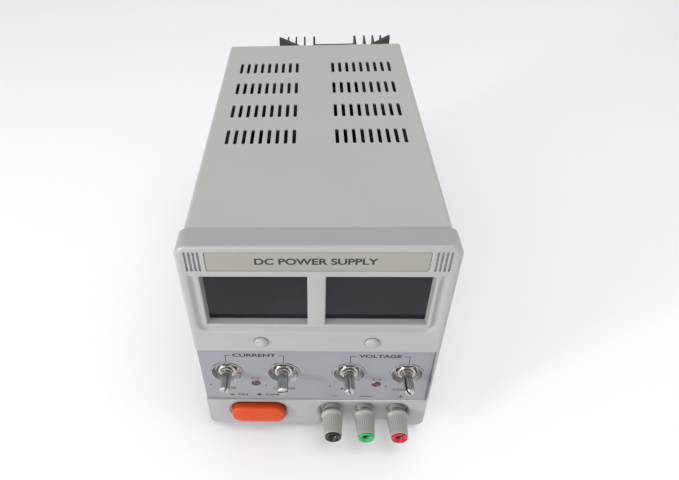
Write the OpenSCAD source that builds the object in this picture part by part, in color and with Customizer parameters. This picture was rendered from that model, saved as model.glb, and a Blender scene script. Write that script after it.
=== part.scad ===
// Bench power supply: a linear, single-output supply in an upright case, with a moulded front
// bezel, a folded steel cover, three binding posts and a finned heat sink on its back.
// +X is to the right seen from the front, +Y is towards the back and +Z is up. The origin is
// on the floor, midway between the sides and midway between the foremost and rearmost points.

/* [Case] */
// Width of the front bezel, the widest part of the case
bezel_w = 136; // [132:1:142]
// Height from the floor to the top of the bezel
total_h = 163; // [158:1:168]
// Depth from the tips of the binding posts to the heat sink's back
total_d = 291; // [288:1:300]
// Depth from the bezel's face to the rear edge of the cover
case_d = 233.2; // [226:0.2:234]
// Width of the sheet-steel cover
cover_w = 130.9; // [128:0.1:132]
// How far the bezel stands above the cover
bezel_rise = 2.5; // [1.5:0.5:4]
// Height of the rubber feet
foot_h = 5.5; // [4:0.5:8]
// Depth of the moulded front bezel
bezel_d = 16.2; // [15.5:0.1:17]

/* [Display] */
// Width of each display opening
window_w = 52.8; // [46:0.2:54]
// Height of each display opening
window_h = 35.4; // [30:0.2:38]
// Width of the bar between the two openings
window_bar = 9.2; // [8:0.2:12]
// Length of the name label
label_w = 106.4; // [90:0.2:110]
// Height of the name label's recess
label_h = 12.3; // [10:0.1:13]

/* [Vents] */
// Slots in each half of a row
slots_per_side = 9; // [5:1:10]
// Rows of slots in the cover's top
slot_rows = 4; // [2:1:4]
// Distance between slots along a row
slot_pitch = 5; // [4.5:0.1:5]
// Distance between rows
slot_row_pitch = 31.2; // [26:0.2:34]
// Length of a slot
slot_len = 16.5; // [10:0.5:18]
// Width of a slot
slot_w = 2.2; // [1.5:0.1:2.8]

/* [Controls] */
// Distance of the outer controls from the middle
pot_outer_x = 52.6; // [51:0.1:53.5]
// Distance of the inner controls from the middle
pot_inner_x = 19.2; // [18:0.1:22]
// Diameter of the wells that the controls sit in
well_dia = 18; // [17:0.1:18.4]
// Diameter of the control shafts
shaft_dia = 6; // [6:0.1:6.3]
// Width of the power button
button_w = 33.7; // [28:0.1:35]
// Height of the power button
button_h = 15.2; // [14:0.1:16]
// Travel of the power button
button_travel = 4; // [3:0.5:5]

/* [Terminals] */
// Distance between neighbouring binding posts
post_pitch = 20; // [19:0.1:20.5]
// Distance of the middle binding post from the case's middle
post_mid_x = 30.3; // [29.5:0.1:31]
// Diameter of the socket for a 4 mm plug
socket_dia = 4; // [4:0.1:4.1]

/* [Heat sink] */
// Width over the heat sink's wings
sink_w = 91.8; // [86:1:92]
// Height of the heat sink
sink_h = 110; // [100:1:115]
// Distance of the heat sink's middle from the case's middle
sink_x = 16.5; // [15:0.1:18]

/* [Hidden] */
$fn = 48;
eps = 0.1;

// Levels above the floor
cover_top = total_h - bezel_rise;
hood_bottom = cover_top - 75.4;
strip_top = 32;
window_top = cover_top - 17.6;
window_mid_z = window_top - window_h / 2;
label_mid_z = cover_top - 7.45;
cap_z = cover_top - 67.5;
pot_z = strip_top + 27.5;
led_z = pot_z - 10.9;
button_z = foot_h + 15.2;
post_z = foot_h + 14;
tray_t = 1.2;
tray_top = foot_h + tray_t;

// Depths, measured back from the bezel's face
panel_y = 3.5;
panel_t = 1;
strip_y = 2.5;
web_back = 8;
hood_wall = 4;
glass_t = 2;
well_floor = 7.1;
well_back = 9.1;
nut_back = well_floor - 0.8;
nut_front = nut_back - 2.4;
bush_front = nut_front - 0.9;
post_plate_y = 6.2;
post_tip_y = -15.5;
rear_t = 1.5;
rear_out = case_d - 1.5;
rear_in = rear_out - rear_t;
sink_back = total_d + post_tip_y;

// Places along the width
pot_xs = [-pot_outer_x, -pot_inner_x, pot_inner_x, pot_outer_x];
led_x = (pot_outer_x + pot_inner_x) / 2;
button_x = -36;
cap_x = 30;
window_x = (window_bar + window_w) / 2;
post_xs = [post_mid_x - post_pitch, post_mid_x, post_mid_x + post_pitch];
inlet_x = -46;
inlet_z = 46;
fuse_z = 92;
selector_z = 121;

// Details shared by several pieces
cheek_t = 1.6;
cover_t = 1;
cover_r = 2.5;
screw_r = 1.5;
screw_hole_r = 1.6;
running_gap = 0.05;
bush_r = 3.5;
post_stud_r = 3;
button_r = 6.5;
rotor_r = 6;
well_r = well_dia / 2;
well_rim = 0.5;
shaft_r = shaft_dia / 2;
cover_in = cover_w / 2 - cover_t;
tray_half = cover_in - 0.35;
boss_xs = [-cap_x, cap_x];
foot_xs = [-50, 50];
foot_ys = [35, 205];
cover_screw_places = [[45, 12], [198, 12], [220, 112]];
sink_top = cover_top - 10;
sink_base_t = 5;
fin_xs = [sink_w * 0.1824, sink_w * 0.2686, sink_w * 0.3451, sink_w * 0.4157];
fin_ts = [1.8, 1.4, 1.3, 1.3];
bridge_y = 256.5;
sink_screw_zs = [sink_top - 8.5, sink_top - sink_h + 8.5];
transistor_zs = [sink_top - 36, sink_top - 74];
core_w = 114;
core_h = 95;
core_d = 55;
core_x = -2;
core_y = 86;
core_z0 = tray_top + 1.5;
limb = core_w / 3;
board_z = 22;
board_t = 1.6;
board_x0 = -30;
board_x1 = 58;
board_y0 = 138;
board_y1 = 218;
inlet_screw_dz = 20;
inlet_mouth_y = rear_out + 3;
inlet_floor_y = inlet_mouth_y - 17;
pin_places = [[-2, -7], [-2, 7], [2, 0]];
fuse_r = 2.6;
slider_travel = 6;

// Moves a piece whose depths are measured from the bezel's face into the part's frame
module from_front() translate([0, -total_d / 2 - post_tip_y, 0]) children();

// Extrudes a front-view outline between two depths
module sheet(y0, y1) translate([0, y1, 0]) rotate([90, 0, 0]) linear_extrude(y1 - y0) children();

// Round bar along the depth
module rod(x, z, y0, y1, r, r_front = 0)
    translate([x, y1, z]) rotate([90, 0, 0])
        cylinder(h = y1 - y0, r1 = r, r2 = r_front > 0 ? r_front : r);

// Box between two corners
module block(from, to) translate(from) cube(to - from);

// Rectangle with round corners, centred
module rounded(w, h, r) {
    square([w - 2 * r, h], center = true);
    square([w, h - 2 * r], center = true);
    for (x = [-1, 1], y = [-1, 1]) translate([x * (w / 2 - r), y * (h / 2 - r)]) circle(r = r);
}

// Pan-head screw along -Y: the head's underside is at y, the head is towards the front
module screw_to_back(x, z, y, len, head_r = 3, head_t = 1.8) {
    rod(x, z, y - head_t, y, head_r);
    rod(x, z, y - eps, y + len, screw_r);
}

// Pan-head screw with its head towards the back
module screw_to_front(x, z, y, len, head_r = 3, head_t = 1.8) {
    rod(x, z, y, y + head_t, head_r);
    rod(x, z, y - len, y + eps, screw_r);
}

// Outer block of the bezel: a tub with straight sides that step in to the cover, and a top that
// falls towards the cover
module bezel_block() {
    front_r = 7;
    back_r = 4;
    back_half = bezel_w / 2 - 0.3;
    hull() {
        for (s = [-1, 1]) {
            rod(s * (bezel_w / 2 - front_r), total_h - front_r, 0, 2.5, front_r, front_r - 0.8);
            rod(s * (bezel_w / 2 - 5), foot_h + 5, 1, 2.5, 5);
            for (edge = [[1.4, 0], [0, 1.4]]) {
                rod(s * (back_half - edge[1] - back_r), cover_top + 0.5 - back_r, bezel_d - edge[0] - 0.1, bezel_d - edge[0], back_r);
                rod(s * (back_half - edge[1] - 5), foot_h + 5, bezel_d - edge[0] - 0.1, bezel_d - edge[0], 5);
            }
        }
    }
}

// Channel that runs down both sides of the windows and under them
module window_channel() {
    out_half = window_bar / 2 + window_w + 5.2;
    in_half = out_half - 2.9;
    top = window_top + 1.6;
    low = window_top - window_h - 6;
    sheet(-eps, 1.2) difference() {
        union() {
            translate([-out_half, low + 5]) square([2 * out_half, top - low - 5]);
            translate([-out_half + 5, low]) square([2 * out_half - 10, 10]);
            for (s = [-1, 1]) translate([s * (out_half - 5), low + 5]) circle(r = 5);
        }
        translate([-in_half, low + 3.5]) square([2 * in_half, top - low]);
    }
}

// Oblong recess round the binding posts, open at the bezel's lower edge
module post_recess() {
    r = 9.8;
    x0 = post_xs[0] - 10;
    x1 = post_xs[2] + 9.3;
    sheet(strip_y - 5, post_plate_y) {
        for (x = [x0 + r, x1 - r]) translate([x, foot_h + 15.6]) circle(r = r);
        translate([x0 + r, foot_h + 15.6 - r]) square([x1 - x0 - 2 * r, 2 * r]);
        translate([x0 + 8, foot_h - 5]) square([x1 - x0 - 16, 15]);
    }
}

// Moulded front of the case: display hood, cheek on the right, control wells and lower strip
module front_bezel() color([0.74, 0.73, 0.71]) from_front() {
    inner_half = cover_w / 2 - 2.35;
    difference() {
        union() {
            difference() {
                bezel_block();
                block([-inner_half, hood_wall, hood_bottom + 2.4], [inner_half, bezel_d + eps, cover_top - 2.2]);
                block([-inner_half, web_back, foot_h + 2.4], [inner_half, bezel_d + eps, hood_bottom - 2.4]);
            }
            for (x = pot_xs) rod(x, pot_z, web_back - eps, well_back, well_r + 1.8);
            for (x = boss_xs) rod(x, cap_z, hood_wall - eps, bezel_d, 4.5);
            for (z = [window_top + 3, window_top - window_h - 3]) rod(0, z, hood_wall - eps, 12.3, 2.4);
        }
        for (s = [-1, 1])
            block([s * window_x - window_w / 2, -eps, window_top - window_h],
                [s * window_x + window_w / 2, hood_wall + eps, window_top]);
        sheet(-eps, 0.8) translate([0, label_mid_z]) rounded(label_w, label_h, 1);
        for (s = [-1, 1], i = [0:3])
            sheet(-eps, 0.7) translate([s * (bezel_w / 2 - 5.7 - 2.1 * i), label_mid_z]) square([1, 12.6], center = true);
        window_channel();
        difference() {
            block([-bezel_w, -eps, strip_top], [bezel_w / 2 - cheek_t, panel_y + panel_t, hood_bottom]);
            for (x = pot_xs) rod(x, pot_z, panel_y - 0.5, web_back, well_r + well_rim);
        }
        block([-bezel_w, -eps, -eps], [bezel_w, strip_y, strip_top]);
        translate([-bezel_w, 0, 0]) rotate([90, 0, 90]) linear_extrude(2 * bezel_w)
            polygon([[-1, strip_top - 1], [strip_y, strip_top - 1], [strip_y, strip_top], [0, strip_top + 9.3], [-1, strip_top + 9.3]]);
        for (x = pot_xs) {
            rod(x, pot_z, panel_y - 1, well_floor, well_r);
            rod(x, pot_z, panel_y, well_back + eps, bush_r + eps);
        }
        for (s = [-1, 1]) rod(s * led_x, led_z, panel_y, web_back + eps, 2.7);
        for (x = boss_xs) {
            rod(x, cap_z, -eps, 3, 3.9);
            rod(x, cap_z, -eps, bezel_d + eps, screw_hole_r);
        }
        sheet(strip_y - eps, web_back + eps) translate([button_x, button_z])
            rounded(button_w + 1, button_h + 1, button_r + 0.5);
        sheet(strip_y - eps, strip_y + 0.8) translate([button_x, button_z])
            rounded(button_w + 3, button_h + 3, button_r + 1.5);
        post_recess();
        for (x = post_xs) rod(x, post_z, strip_y, web_back + eps, 4.4);
    }
}

// Printed strip in the recess above the windows
module name_label() color([0.73, 0.7, 0.66]) from_front()
    sheet(0.3, 0.8) translate([0, label_mid_z]) rounded(label_w - 0.4, label_h - 0.4, 0.9);

// Printed sheet round the controls
module control_panel() color([0.68, 0.69, 0.72]) from_front() {
    difference() {
        block([-bezel_w / 2 + 0.3, panel_y, strip_top + 0.2],
            [bezel_w / 2 - cheek_t - 0.2, panel_y + panel_t, hood_bottom - 0.2]);
        for (x = pot_xs) rod(x, pot_z, panel_y - eps, panel_y + panel_t + eps, well_r + well_rim + 0.05);
        for (s = [-1, 1]) rod(s * led_x, led_z, panel_y - eps, panel_y + panel_t + eps, 2.7);
    }
}

// Smoked window behind one display opening
module window_pane(side) color([0.1, 0.11, 0.14]) from_front()
    sheet(hood_wall, hood_wall + glass_t) translate([side * window_x, window_mid_z])
        rounded(window_w + 4, window_h + 4, 1);
module left_window() window_pane(-1);
module right_window() window_pane(1);

// Domed plugs that hide the two bezel screws
module screw_caps() color([0.76, 0.75, 0.73]) from_front()
    for (x = boss_xs) intersection() {
        rod(x, cap_z, -1.8, 1, 3.85);
        translate([x, 3.2, cap_z]) sphere(r = 5.2);
    }

// Screws that hold the bezel to the tray's upright
module bezel_screws() color([0.7, 0.7, 0.72]) from_front()
    for (x = boss_xs) screw_to_back(x, cap_z, 3, 16, 3.2);

// Outline of the cover: straight sides and round upper corners
module cover_outline(half, top, r) {
    translate([-half, foot_h]) square([2 * half, top - r - foot_h]);
    translate([-half + r, foot_h]) square([2 * (half - r), top - foot_h]);
    for (s = [-1, 1]) translate([s * (half - r), top - r]) circle(r = r);
}

// Ventilation slots in the cover's top, seen from above
module vent_slots() {
    first_row_y = 100.5;
    inner_x = 12.75;
    for (row = [0:slot_rows - 1], s = [-1, 1], i = [0:slots_per_side - 1])
        translate([s * (inner_x + i * slot_pitch), first_row_y + row * slot_row_pitch]) {
            square([slot_w, slot_len - slot_w], center = true);
            for (e = [-1, 1]) translate([0, e * (slot_len - slot_w) / 2]) circle(r = slot_w / 2);
        }
}

// Folded sheet-steel cover: top and both sides
module case_cover() color([0.74, 0.73, 0.71]) from_front()
    difference() {
        sheet(bezel_d, case_d) cover_outline(cover_w / 2, cover_top, cover_r);
        sheet(bezel_d - 1, case_d + 1) translate([0, -eps]) cover_outline(cover_in, cover_top - cover_t + eps, cover_r - cover_t);
        translate([0, 0, cover_top - 3]) linear_extrude(6) vent_slots();
        for (p = cover_screw_places) translate([-cover_w, p[0], p[1]]) rotate([0, 90, 0]) cylinder(h = 2 * cover_w, r = screw_hole_r);
    }

// Chassis: bottom sheet with side flanges, a rear lip and the upright behind the bezel
module bottom_tray() color([0.62, 0.63, 0.65]) from_front()
    difference() {
        union() {
            block([-tray_half, bezel_d, foot_h], [tray_half, rear_in - 1.2, tray_top]);
            for (s = [-1, 1]) translate([s * (tray_half - tray_t / 2), (bezel_d + rear_in) / 2 - 8, foot_h + 6])
                cube([tray_t, rear_in - bezel_d - 20, 12], center = true);
            block([-50, rear_in - 1.2, foot_h], [50, rear_in, foot_h + 14]);
            for (s = [-1, 1]) block([s * 36 - 7, bezel_d, foot_h], [s * 36 + 7, bezel_d + tray_t, cap_z - 4]);
            block([-tray_half, bezel_d, cap_z - 7], [tray_half, bezel_d + tray_t, cap_z + 7]);
        }
        for (x = boss_xs) rod(x, cap_z, bezel_d - 1, bezel_d + 3, screw_hole_r);
        for (s = [-1, 1]) rod(s * 36, button_z, bezel_d - 1, bezel_d + 3, 4.5);
        for (x = foot_xs, y = foot_ys) translate([x, y, foot_h - 1]) cylinder(h = 4, r = screw_hole_r);
        for (i = [-4:4]) block([i * 12 - 1.5, 140, foot_h - 1], [i * 12 + 1.5, 185, tray_top + 1]);
        for (s = [-1, 1]) rod(s * 40, foot_h + 8, rear_in - 3, rear_in + 1, screw_hole_r);
        for (p = cover_screw_places) translate([-cover_w, p[0], p[1]]) rotate([0, 90, 0]) cylinder(h = 2 * cover_w, r = screw_hole_r);
    }

// Rear wall with its two forward flanges
module rear_panel() color([0.7, 0.7, 0.69]) from_front()
    difference() {
        union() {
            sheet(rear_in, rear_out) difference() {
                cover_outline(tray_half, cover_top - cover_t - 0.4, cover_r);
                translate([-cover_w, foot_h - 1]) square([2 * cover_w, tray_t + 1]);
            }
            for (s = [-1, 1]) translate([s * (tray_half - 0.6), rear_in - 5.5, 100]) cube([1.2, 12, 100], center = true);
        }
        sheet(rear_in - 1, rear_out + 1) {
            translate([inlet_x, inlet_z]) square([20.4, 28], center = true);
            translate([inlet_x, selector_z]) square([22.6, 12.6], center = true);
            translate([sink_x, sink_top - sink_h / 2]) square([42, 76], center = true);
        }
        rod(inlet_x, fuse_z, rear_in - 1, rear_out + 1, 6.4);
        for (s = [-1, 1]) rod(inlet_x, inlet_z + s * inlet_screw_dz, rear_in - 1, rear_out + 1, screw_hole_r);
        for (s = [-1, 1]) rod(s * 40, foot_h + 8, rear_in - 1, rear_out + 1, screw_hole_r);
        for (s = [-1, 1], z = sink_screw_zs) rod(sink_x + s * 9, z, rear_in - 1, rear_out + 1, screw_hole_r);
        translate([-cover_w, cover_screw_places[2][0], cover_screw_places[2][1]]) rotate([0, 90, 0])
            cylinder(h = 2 * cover_w, r = screw_hole_r);
    }

// Rubber feet with a counterbore for the screw's head
module feet() color([0.12, 0.12, 0.12]) from_front()
    for (x = foot_xs, y = foot_ys) translate([x, y, 0]) difference() {
        cylinder(h = foot_h, r1 = 7.5, r2 = 8.5);
        translate([0, 0, -eps]) cylinder(h = 3 + eps, r = 4);
        cylinder(h = foot_h + 1, r = screw_hole_r);
    }

module foot_screws() color([0.7, 0.7, 0.72]) from_front()
    for (x = foot_xs, y = foot_ys) translate([x, y, 0]) {
        translate([0, 0, 1.2]) cylinder(h = 1.8, r = 3);
        translate([0, 0, 3 - eps]) cylinder(h = 7, r = screw_r);
    }

// Screws through the cover's sides
module cover_screws() color([0.7, 0.7, 0.72]) from_front()
    for (s = [0, 1], p = cover_screw_places) mirror([s, 0, 0]) translate([cover_w / 2, p[0], p[1]]) rotate([0, 90, 0]) {
        cylinder(h = 1.7, r = 3);
        translate([0, 0, -5]) cylinder(h = 5 + eps, r = screw_r);
    }

// Screws in the rear wall: two low down and two in the mains inlet's flange
module rear_screws() color([0.7, 0.7, 0.72]) from_front() {
    for (s = [-1, 1]) {
        screw_to_front(s * 40, foot_h + 8, rear_out, 6);
        screw_to_front(inlet_x, inlet_z + s * inlet_screw_dz, rear_out + 3, 7);
    }
}

// Split metal shaft of a control, with a clip groove in front of the bush and the wiper's disc
// inside the can
module pot_shaft(x) color([0.72, 0.74, 0.75]) from_front() {
    tip_y = -9.6;
    groove_y = bush_front - 0.7;
    difference() {
        rod(x, pot_z, tip_y, groove_y, shaft_r);
        block([x - 0.5, tip_y - 1, pot_z - 4], [x + 0.5, tip_y + 9, pot_z + 4]);
    }
    rod(x, pot_z, groove_y - eps, groove_y + 0.8, shaft_r - 0.5);
    rod(x, pot_z, groove_y + 0.7, well_back + 3, shaft_r);
    rod(x, pot_z, well_back + 1.9, well_back + 4.9, rotor_r);
}
module current_fine_shaft() pot_shaft(pot_xs[0]);
module current_coarse_shaft() pot_shaft(pot_xs[1]);
module voltage_fine_shaft() pot_shaft(pot_xs[2]);
module voltage_coarse_shaft() pot_shaft(pot_xs[3]);

// Cans of the four controls, each with three solder tags
module pot_bodies() color([0.55, 0.5, 0.42]) from_front()
    for (x = pot_xs) {
        difference() {
            rod(x, pot_z, well_back, well_back + 9, 8.3);
            rod(x, pot_z, well_back + 1.5, well_back + 5.3, rotor_r + 0.3);
            rod(x, pot_z, well_back - 1, well_back + 2, shaft_r + 0.3);
        }
        for (i = [-1:1]) block([x + 4 * i - 0.8, well_back + 6.5, pot_z - 13],
            [x + 4 * i + 0.8, well_back + 7.3, pot_z - 6.9]);
    }

// Threaded bushes that the shafts turn in
module pot_bushes() color([0.75, 0.74, 0.7]) from_front()
    for (x = pot_xs) difference() {
        rod(x, pot_z, bush_front, well_back, bush_r);
        rod(x, pot_z, bush_front - 1, well_back + 1, shaft_r + running_gap);
    }

module pot_nuts() color([0.75, 0.74, 0.7]) from_front()
    for (x = pot_xs) difference() {
        translate([x, nut_back, pot_z]) rotate([90, 0, 0]) cylinder(h = nut_back - nut_front, r = 6.15, $fn = 6);
        rod(x, pot_z, bush_front, well_back, bush_r + running_gap);
    }

module pot_washers() color([0.78, 0.78, 0.76]) from_front()
    for (x = pot_xs) difference() {
        rod(x, pot_z, nut_back, well_floor, 6.9);
        rod(x, pot_z, bush_front, well_back, bush_r + eps);
    }

// Push button with its square stem
module power_button() color([0.9, 0.33, 0.1]) from_front() {
    sheet(-2, 7) translate([button_x, button_z]) rounded(button_w, button_h, button_r);
    block([button_x - 2.5, 7 - eps, button_z - 2.5], [button_x + 2.5, 26, button_z + 2.5]);
}

// Latching mains switch behind the button, standing on the tray
module power_switch() color([0.14, 0.14, 0.15]) from_front() {
    difference() {
        block([button_x - 8, 20, button_z - 8], [button_x + 8, 40, button_z + 8]);
        block([button_x - 2.8, 19, button_z - 2.8], [button_x + 2.8, 26.5 + button_travel, button_z + 2.8]);
    }
    block([button_x - 8, 24, tray_top], [button_x + 8, 38, button_z - 8 + eps]);
}

// Indicator lamp with its rim
module led(x) color([0.45, 0.04, 0.06]) from_front() {
    intersection() {
        rod(x, led_z, 2.6, 11.2, 2.45);
        translate([x, 5.6, led_z]) rotate([-90, 0, 0]) union() {
            sphere(r = 2.6);
            cylinder(h = 6, r = 2.6);
        }
    }
    rod(x, led_z, 10, 11.2, 2.9);
}
module cc_led() led(-led_x);
module cv_led() led(led_x);

// Collars that hold the indicator lamps against the bezel
module led_collars() color([0.1, 0.1, 0.1]) from_front()
    for (s = [-1, 1]) difference() {
        rod(s * led_x, led_z, web_back, 10, 4);
        rod(s * led_x, led_z, web_back - 1, 11, 2.55);
    }

// Threaded studs of the binding posts, bored for 4 mm plugs
module terminal_studs() color([0.78, 0.7, 0.45]) from_front()
    for (x = post_xs) difference() {
        rod(x, post_z, post_tip_y + 1.8, 15.7, post_stud_r);
        rod(x, post_z, post_tip_y + 1, 2, socket_dia / 2);
    }

// Insulating flanges in front of and behind the bezel's plate
module terminal_insulators() color([0.7, 0.69, 0.67]) from_front()
    for (x = post_xs) {
        difference() {
            union() {
                rod(x, post_z, 3.5, post_plate_y, 5.2);
                rod(x, post_z, 3.5, web_back, 4.3);
            }
            rod(x, post_z, 3, 9, post_stud_r + running_gap);
        }
        difference() {
            rod(x, post_z, web_back, 10, 6.4);
            rod(x, post_z, 7, 11, post_stud_r + running_gap);
        }
    }

module terminal_nuts() color([0.75, 0.74, 0.7]) from_front()
    for (x = post_xs) difference() {
        translate([x, 12.6, post_z]) rotate([90, 0, 0]) cylinder(h = 2.6, r = 5.6, $fn = 6);
        rod(x, post_z, 9, 13, post_stud_r + running_gap);
    }

// Clamp washer that the cap pushes along the stud
module post_clamp(x) color([0.78, 0.76, 0.7]) from_front()
    difference() {
        rod(x, post_z, 2.1, 3.3, 5.2);
        rod(x, post_z, 1, 4, post_stud_r + running_gap);
    }
module black_clamp() post_clamp(post_xs[0]);
module green_clamp() post_clamp(post_xs[1]);
module red_clamp() post_clamp(post_xs[2]);

// Tapered cap that screws along the stud
module post_knob(x) color([0.72, 0.71, 0.68]) from_front()
    difference() {
        union() {
            rod(x, post_z, 0.8, 1.9, 6);
            rod(x, post_z, -1.2, 0.9, 7);
            rod(x, post_z, post_tip_y + 1.5, -1.1, 6.1, 5.3);
        }
        rod(x, post_z, post_tip_y + 1, 3, post_stud_r + running_gap);
    }
module black_knob() post_knob(post_xs[0]);
module green_knob() post_knob(post_xs[1]);
module red_knob() post_knob(post_xs[2]);

// Coloured ring in the tip of a cap
module post_ring(x) from_front()
    difference() {
        rod(x, post_z, post_tip_y, post_tip_y + 1.5, 4.95);
        rod(x, post_z, post_tip_y - 1, post_tip_y + 3, socket_dia / 2 + 0.3);
    }
module black_ring() color([0.04, 0.04, 0.04]) post_ring(post_xs[0]);
module green_ring() color([0.1, 0.65, 0.3]) post_ring(post_xs[1]);
module red_ring() color([0.75, 0.06, 0.1]) post_ring(post_xs[2]);

// Circuit board that carries the two digital meters
module display_board() color([0.1, 0.3, 0.18]) from_front()
    block([-59, 12.3, window_top - window_h - 5], [59, 13.9, window_top + 6]);

module display_modules() color([0.16, 0.16, 0.17]) from_front()
    for (s = [-1, 1]) block([s * window_x - 22, 6.4, window_mid_z - 10], [s * window_x + 22, 12.3, window_mid_z + 10]);

// Laminated core with two windows
module transformer_core() color([0.3, 0.3, 0.31]) from_front()
    difference() {
        block([core_x - core_w / 2, core_y - core_d / 2, core_z0], [core_x + core_w / 2, core_y + core_d / 2, core_z0 + core_h]);
        for (s = [-1, 1]) translate([core_x + s * limb * 0.75, core_y, core_z0 + core_h / 2])
            cube([limb / 2, core_d + 2, core_h - limb], center = true);
        for (p = bolt_places()) rod(p[0], p[1], core_y - core_d, core_y + core_d, 2.6);
    }
function bolt_places() = [for (s = [-1, 1], t = [-1, 1])
    [core_x + s * (core_w / 2 - limb / 4), core_z0 + core_h / 2 + t * (core_h / 2 - limb / 4)]];

// Copper winding round the middle limb
module transformer_winding() color([0.75, 0.6, 0.25]) from_front()
    translate([core_x, core_y, core_z0 + core_h / 2]) difference() {
        cube([2 * limb - 0.6, core_d + 32, core_h - limb - 0.6], center = true);
        cube([limb + 0.4, core_d + 0.4, core_h], center = true);
    }

// Clamp plates of the transformer: low ones with feet on the tray, and high ones
module transformer_frame() color([0.62, 0.63, 0.65]) from_front() {
    y_half = core_d / 2;
    for (s = [0, 1]) translate([core_x, core_y, 0]) mirror([0, s, 0]) difference() {
        union() {
            block([-core_w / 2, y_half, tray_top], [core_w / 2, y_half + 1.5, core_z0 + limb / 2 - 1]);
            block([-core_w / 2, y_half, tray_top], [core_w / 2, y_half + 14, tray_top + 1.5]);
            block([-core_w / 2, y_half, core_z0 + core_h - limb / 2 + 1], [core_w / 2, y_half + 1.5, core_z0 + core_h]);
        }
        for (p = bolt_places()) rod(p[0] - core_x, p[1], 0, core_d, 2.6);
    }
}

module transformer_bolts() color([0.7, 0.7, 0.72]) from_front()
    for (p = bolt_places()) {
        front = core_y - core_d / 2 - 1.5;
        back = core_y + core_d / 2 + 1.5;
        rod(p[0], p[1], front - eps, back + 4.5, 2.5);
        translate([p[0], front, p[1]]) rotate([90, 0, 0]) cylinder(h = 3, r = 4.6, $fn = 6);
        translate([p[0], back + 3, p[1]]) rotate([90, 0, 0]) cylinder(h = 3, r = 4.6, $fn = 6);
    }

// Regulator board on four standoffs
module main_board() color([0.1, 0.3, 0.18]) from_front()
    block([board_x0, board_y0, board_z], [board_x1, board_y1, board_z + board_t]);

module board_standoffs() color([0.78, 0.7, 0.45]) from_front()
    for (x = [board_x0 + 5, board_x1 - 5], y = [board_y0 + 5, board_y1 - 5])
        translate([x, y, tray_top]) cylinder(h = board_z - tray_top, r = 3);

module filter_capacitors() color([0.13, 0.16, 0.3]) from_front()
    for (x = [-10, 33]) translate([x, 160, board_z + board_t]) cylinder(h = 50, r = 17.5);

module bridge_rectifier() color([0.1, 0.1, 0.1]) from_front() {
    z0 = board_z + board_t;
    block([-25, 184, z0 + 4], [5, 190, z0 + 24]);
    for (i = [0:3]) block([-22 + 7.5 * i, 186.5, z0], [-20.8 + 7.5 * i, 187.5, z0 + 4 + eps]);
}

module relays() color([0.12, 0.2, 0.5]) from_front()
    for (i = [0:2]) block([-22 + 25 * i, 197, board_z + board_t], [-3 + 25 * i, 212, board_z + board_t + 15]);

// Plan of the heat sink: a base, two deep inner fins joined by a bridge, two outer deep fins,
// and slanted wings that each carry two more fins
module sink_plan() {
    base_half = fin_xs[1] + fin_ts[1] / 2;
    wing_root = sink_back - (sink_w / 2 - fin_xs[1]) - 0.5;
    translate([-base_half, rear_out]) square([2 * base_half, sink_base_t]);
    translate([-fin_xs[0], bridge_y]) square([2 * fin_xs[0], 3]);
    for (s = [0, 1]) mirror([s, 0]) {
        for (i = [0, 1]) translate([fin_xs[i] - fin_ts[i] / 2, rear_out]) square([fin_ts[i], sink_back - rear_out]);
        for (i = [2, 3]) {
            foot = wing_root + fin_xs[i] - fin_xs[1];
            translate([fin_xs[i] - fin_ts[i] / 2, foot]) square([fin_ts[i], sink_back - foot]);
        }
        polygon([[fin_xs[1], wing_root - 4], [fin_xs[1], wing_root], [sink_w / 2 - 1, sink_back],
            [sink_w / 2, sink_back], [sink_w / 2, sink_back - 3.5]]);
    }
}

// Extruded heat sink on the rear wall
module heat_sink() color([0.07, 0.07, 0.08]) from_front()
    difference() {
        translate([sink_x, 0, sink_top - sink_h]) linear_extrude(sink_h) sink_plan();
        for (s = [-1, 1], z = sink_screw_zs) rod(sink_x + s * 9, z, rear_out - 1, rear_out + 20, screw_hole_r);
        for (s = [-1, 1], z = transistor_zs) rod(sink_x + s * 15, z, rear_out - 1, rear_out + 20, screw_hole_r);
    }

// Two metal-can transistors on the heat sink's base
module power_transistors() color([0.75, 0.75, 0.76]) from_front()
    for (z = transistor_zs) difference() {
        union() {
            rod(sink_x, z, rear_out - 9, rear_out - 1.6 + eps, 10.5);
            translate([sink_x, 0, z]) sheet(rear_out - 1.6, rear_out) {
                circle(r = 12.5);
                square([30, 9], center = true);
                for (s = [-1, 1]) translate([s * 15, 0]) circle(r = 4.5);
            }
        }
        for (s = [-1, 1]) rod(sink_x + s * 15, z, rear_out - 12, rear_out + 1, screw_hole_r);
    }

// Screws of the heat sink, and of the transistors on it
module heat_sink_screws() color([0.7, 0.7, 0.72]) from_front() {
    for (s = [-1, 1], z = sink_screw_zs) screw_to_back(sink_x + s * 9, z, rear_in, 5);
    for (s = [-1, 1], z = transistor_zs) screw_to_back(sink_x + s * 15, z, rear_out - 1.6, 5, 2.8);
}

// Three-pole mains inlet, upright, with its flange outside the rear wall
module mains_inlet() color([0.08, 0.08, 0.08]) from_front()
    difference() {
        union() {
            sheet(rear_out, inlet_mouth_y) translate([inlet_x, inlet_z]) rounded(24, 50, 3);
            sheet(inlet_floor_y - 4, rear_out + eps) translate([inlet_x, inlet_z]) square([20, 27.6], center = true);
        }
        sheet(inlet_floor_y, inlet_mouth_y + 1) translate([inlet_x, inlet_z]) polygon([[-8.3, -12.2], [4, -12.2],
            [8.3, -7.8], [8.3, 7.8], [4, 12.2], [-8.3, 12.2]]);
        for (s = [-1, 1]) rod(inlet_x, inlet_z + s * inlet_screw_dz, rear_out - 1, inlet_mouth_y + 1, screw_hole_r);
        for (p = pin_places) sheet(inlet_floor_y - 5, inlet_floor_y + 1) translate([inlet_x + p[0], inlet_z + p[1]])
            square([4.1, 2.1], center = true);
    }

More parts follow.
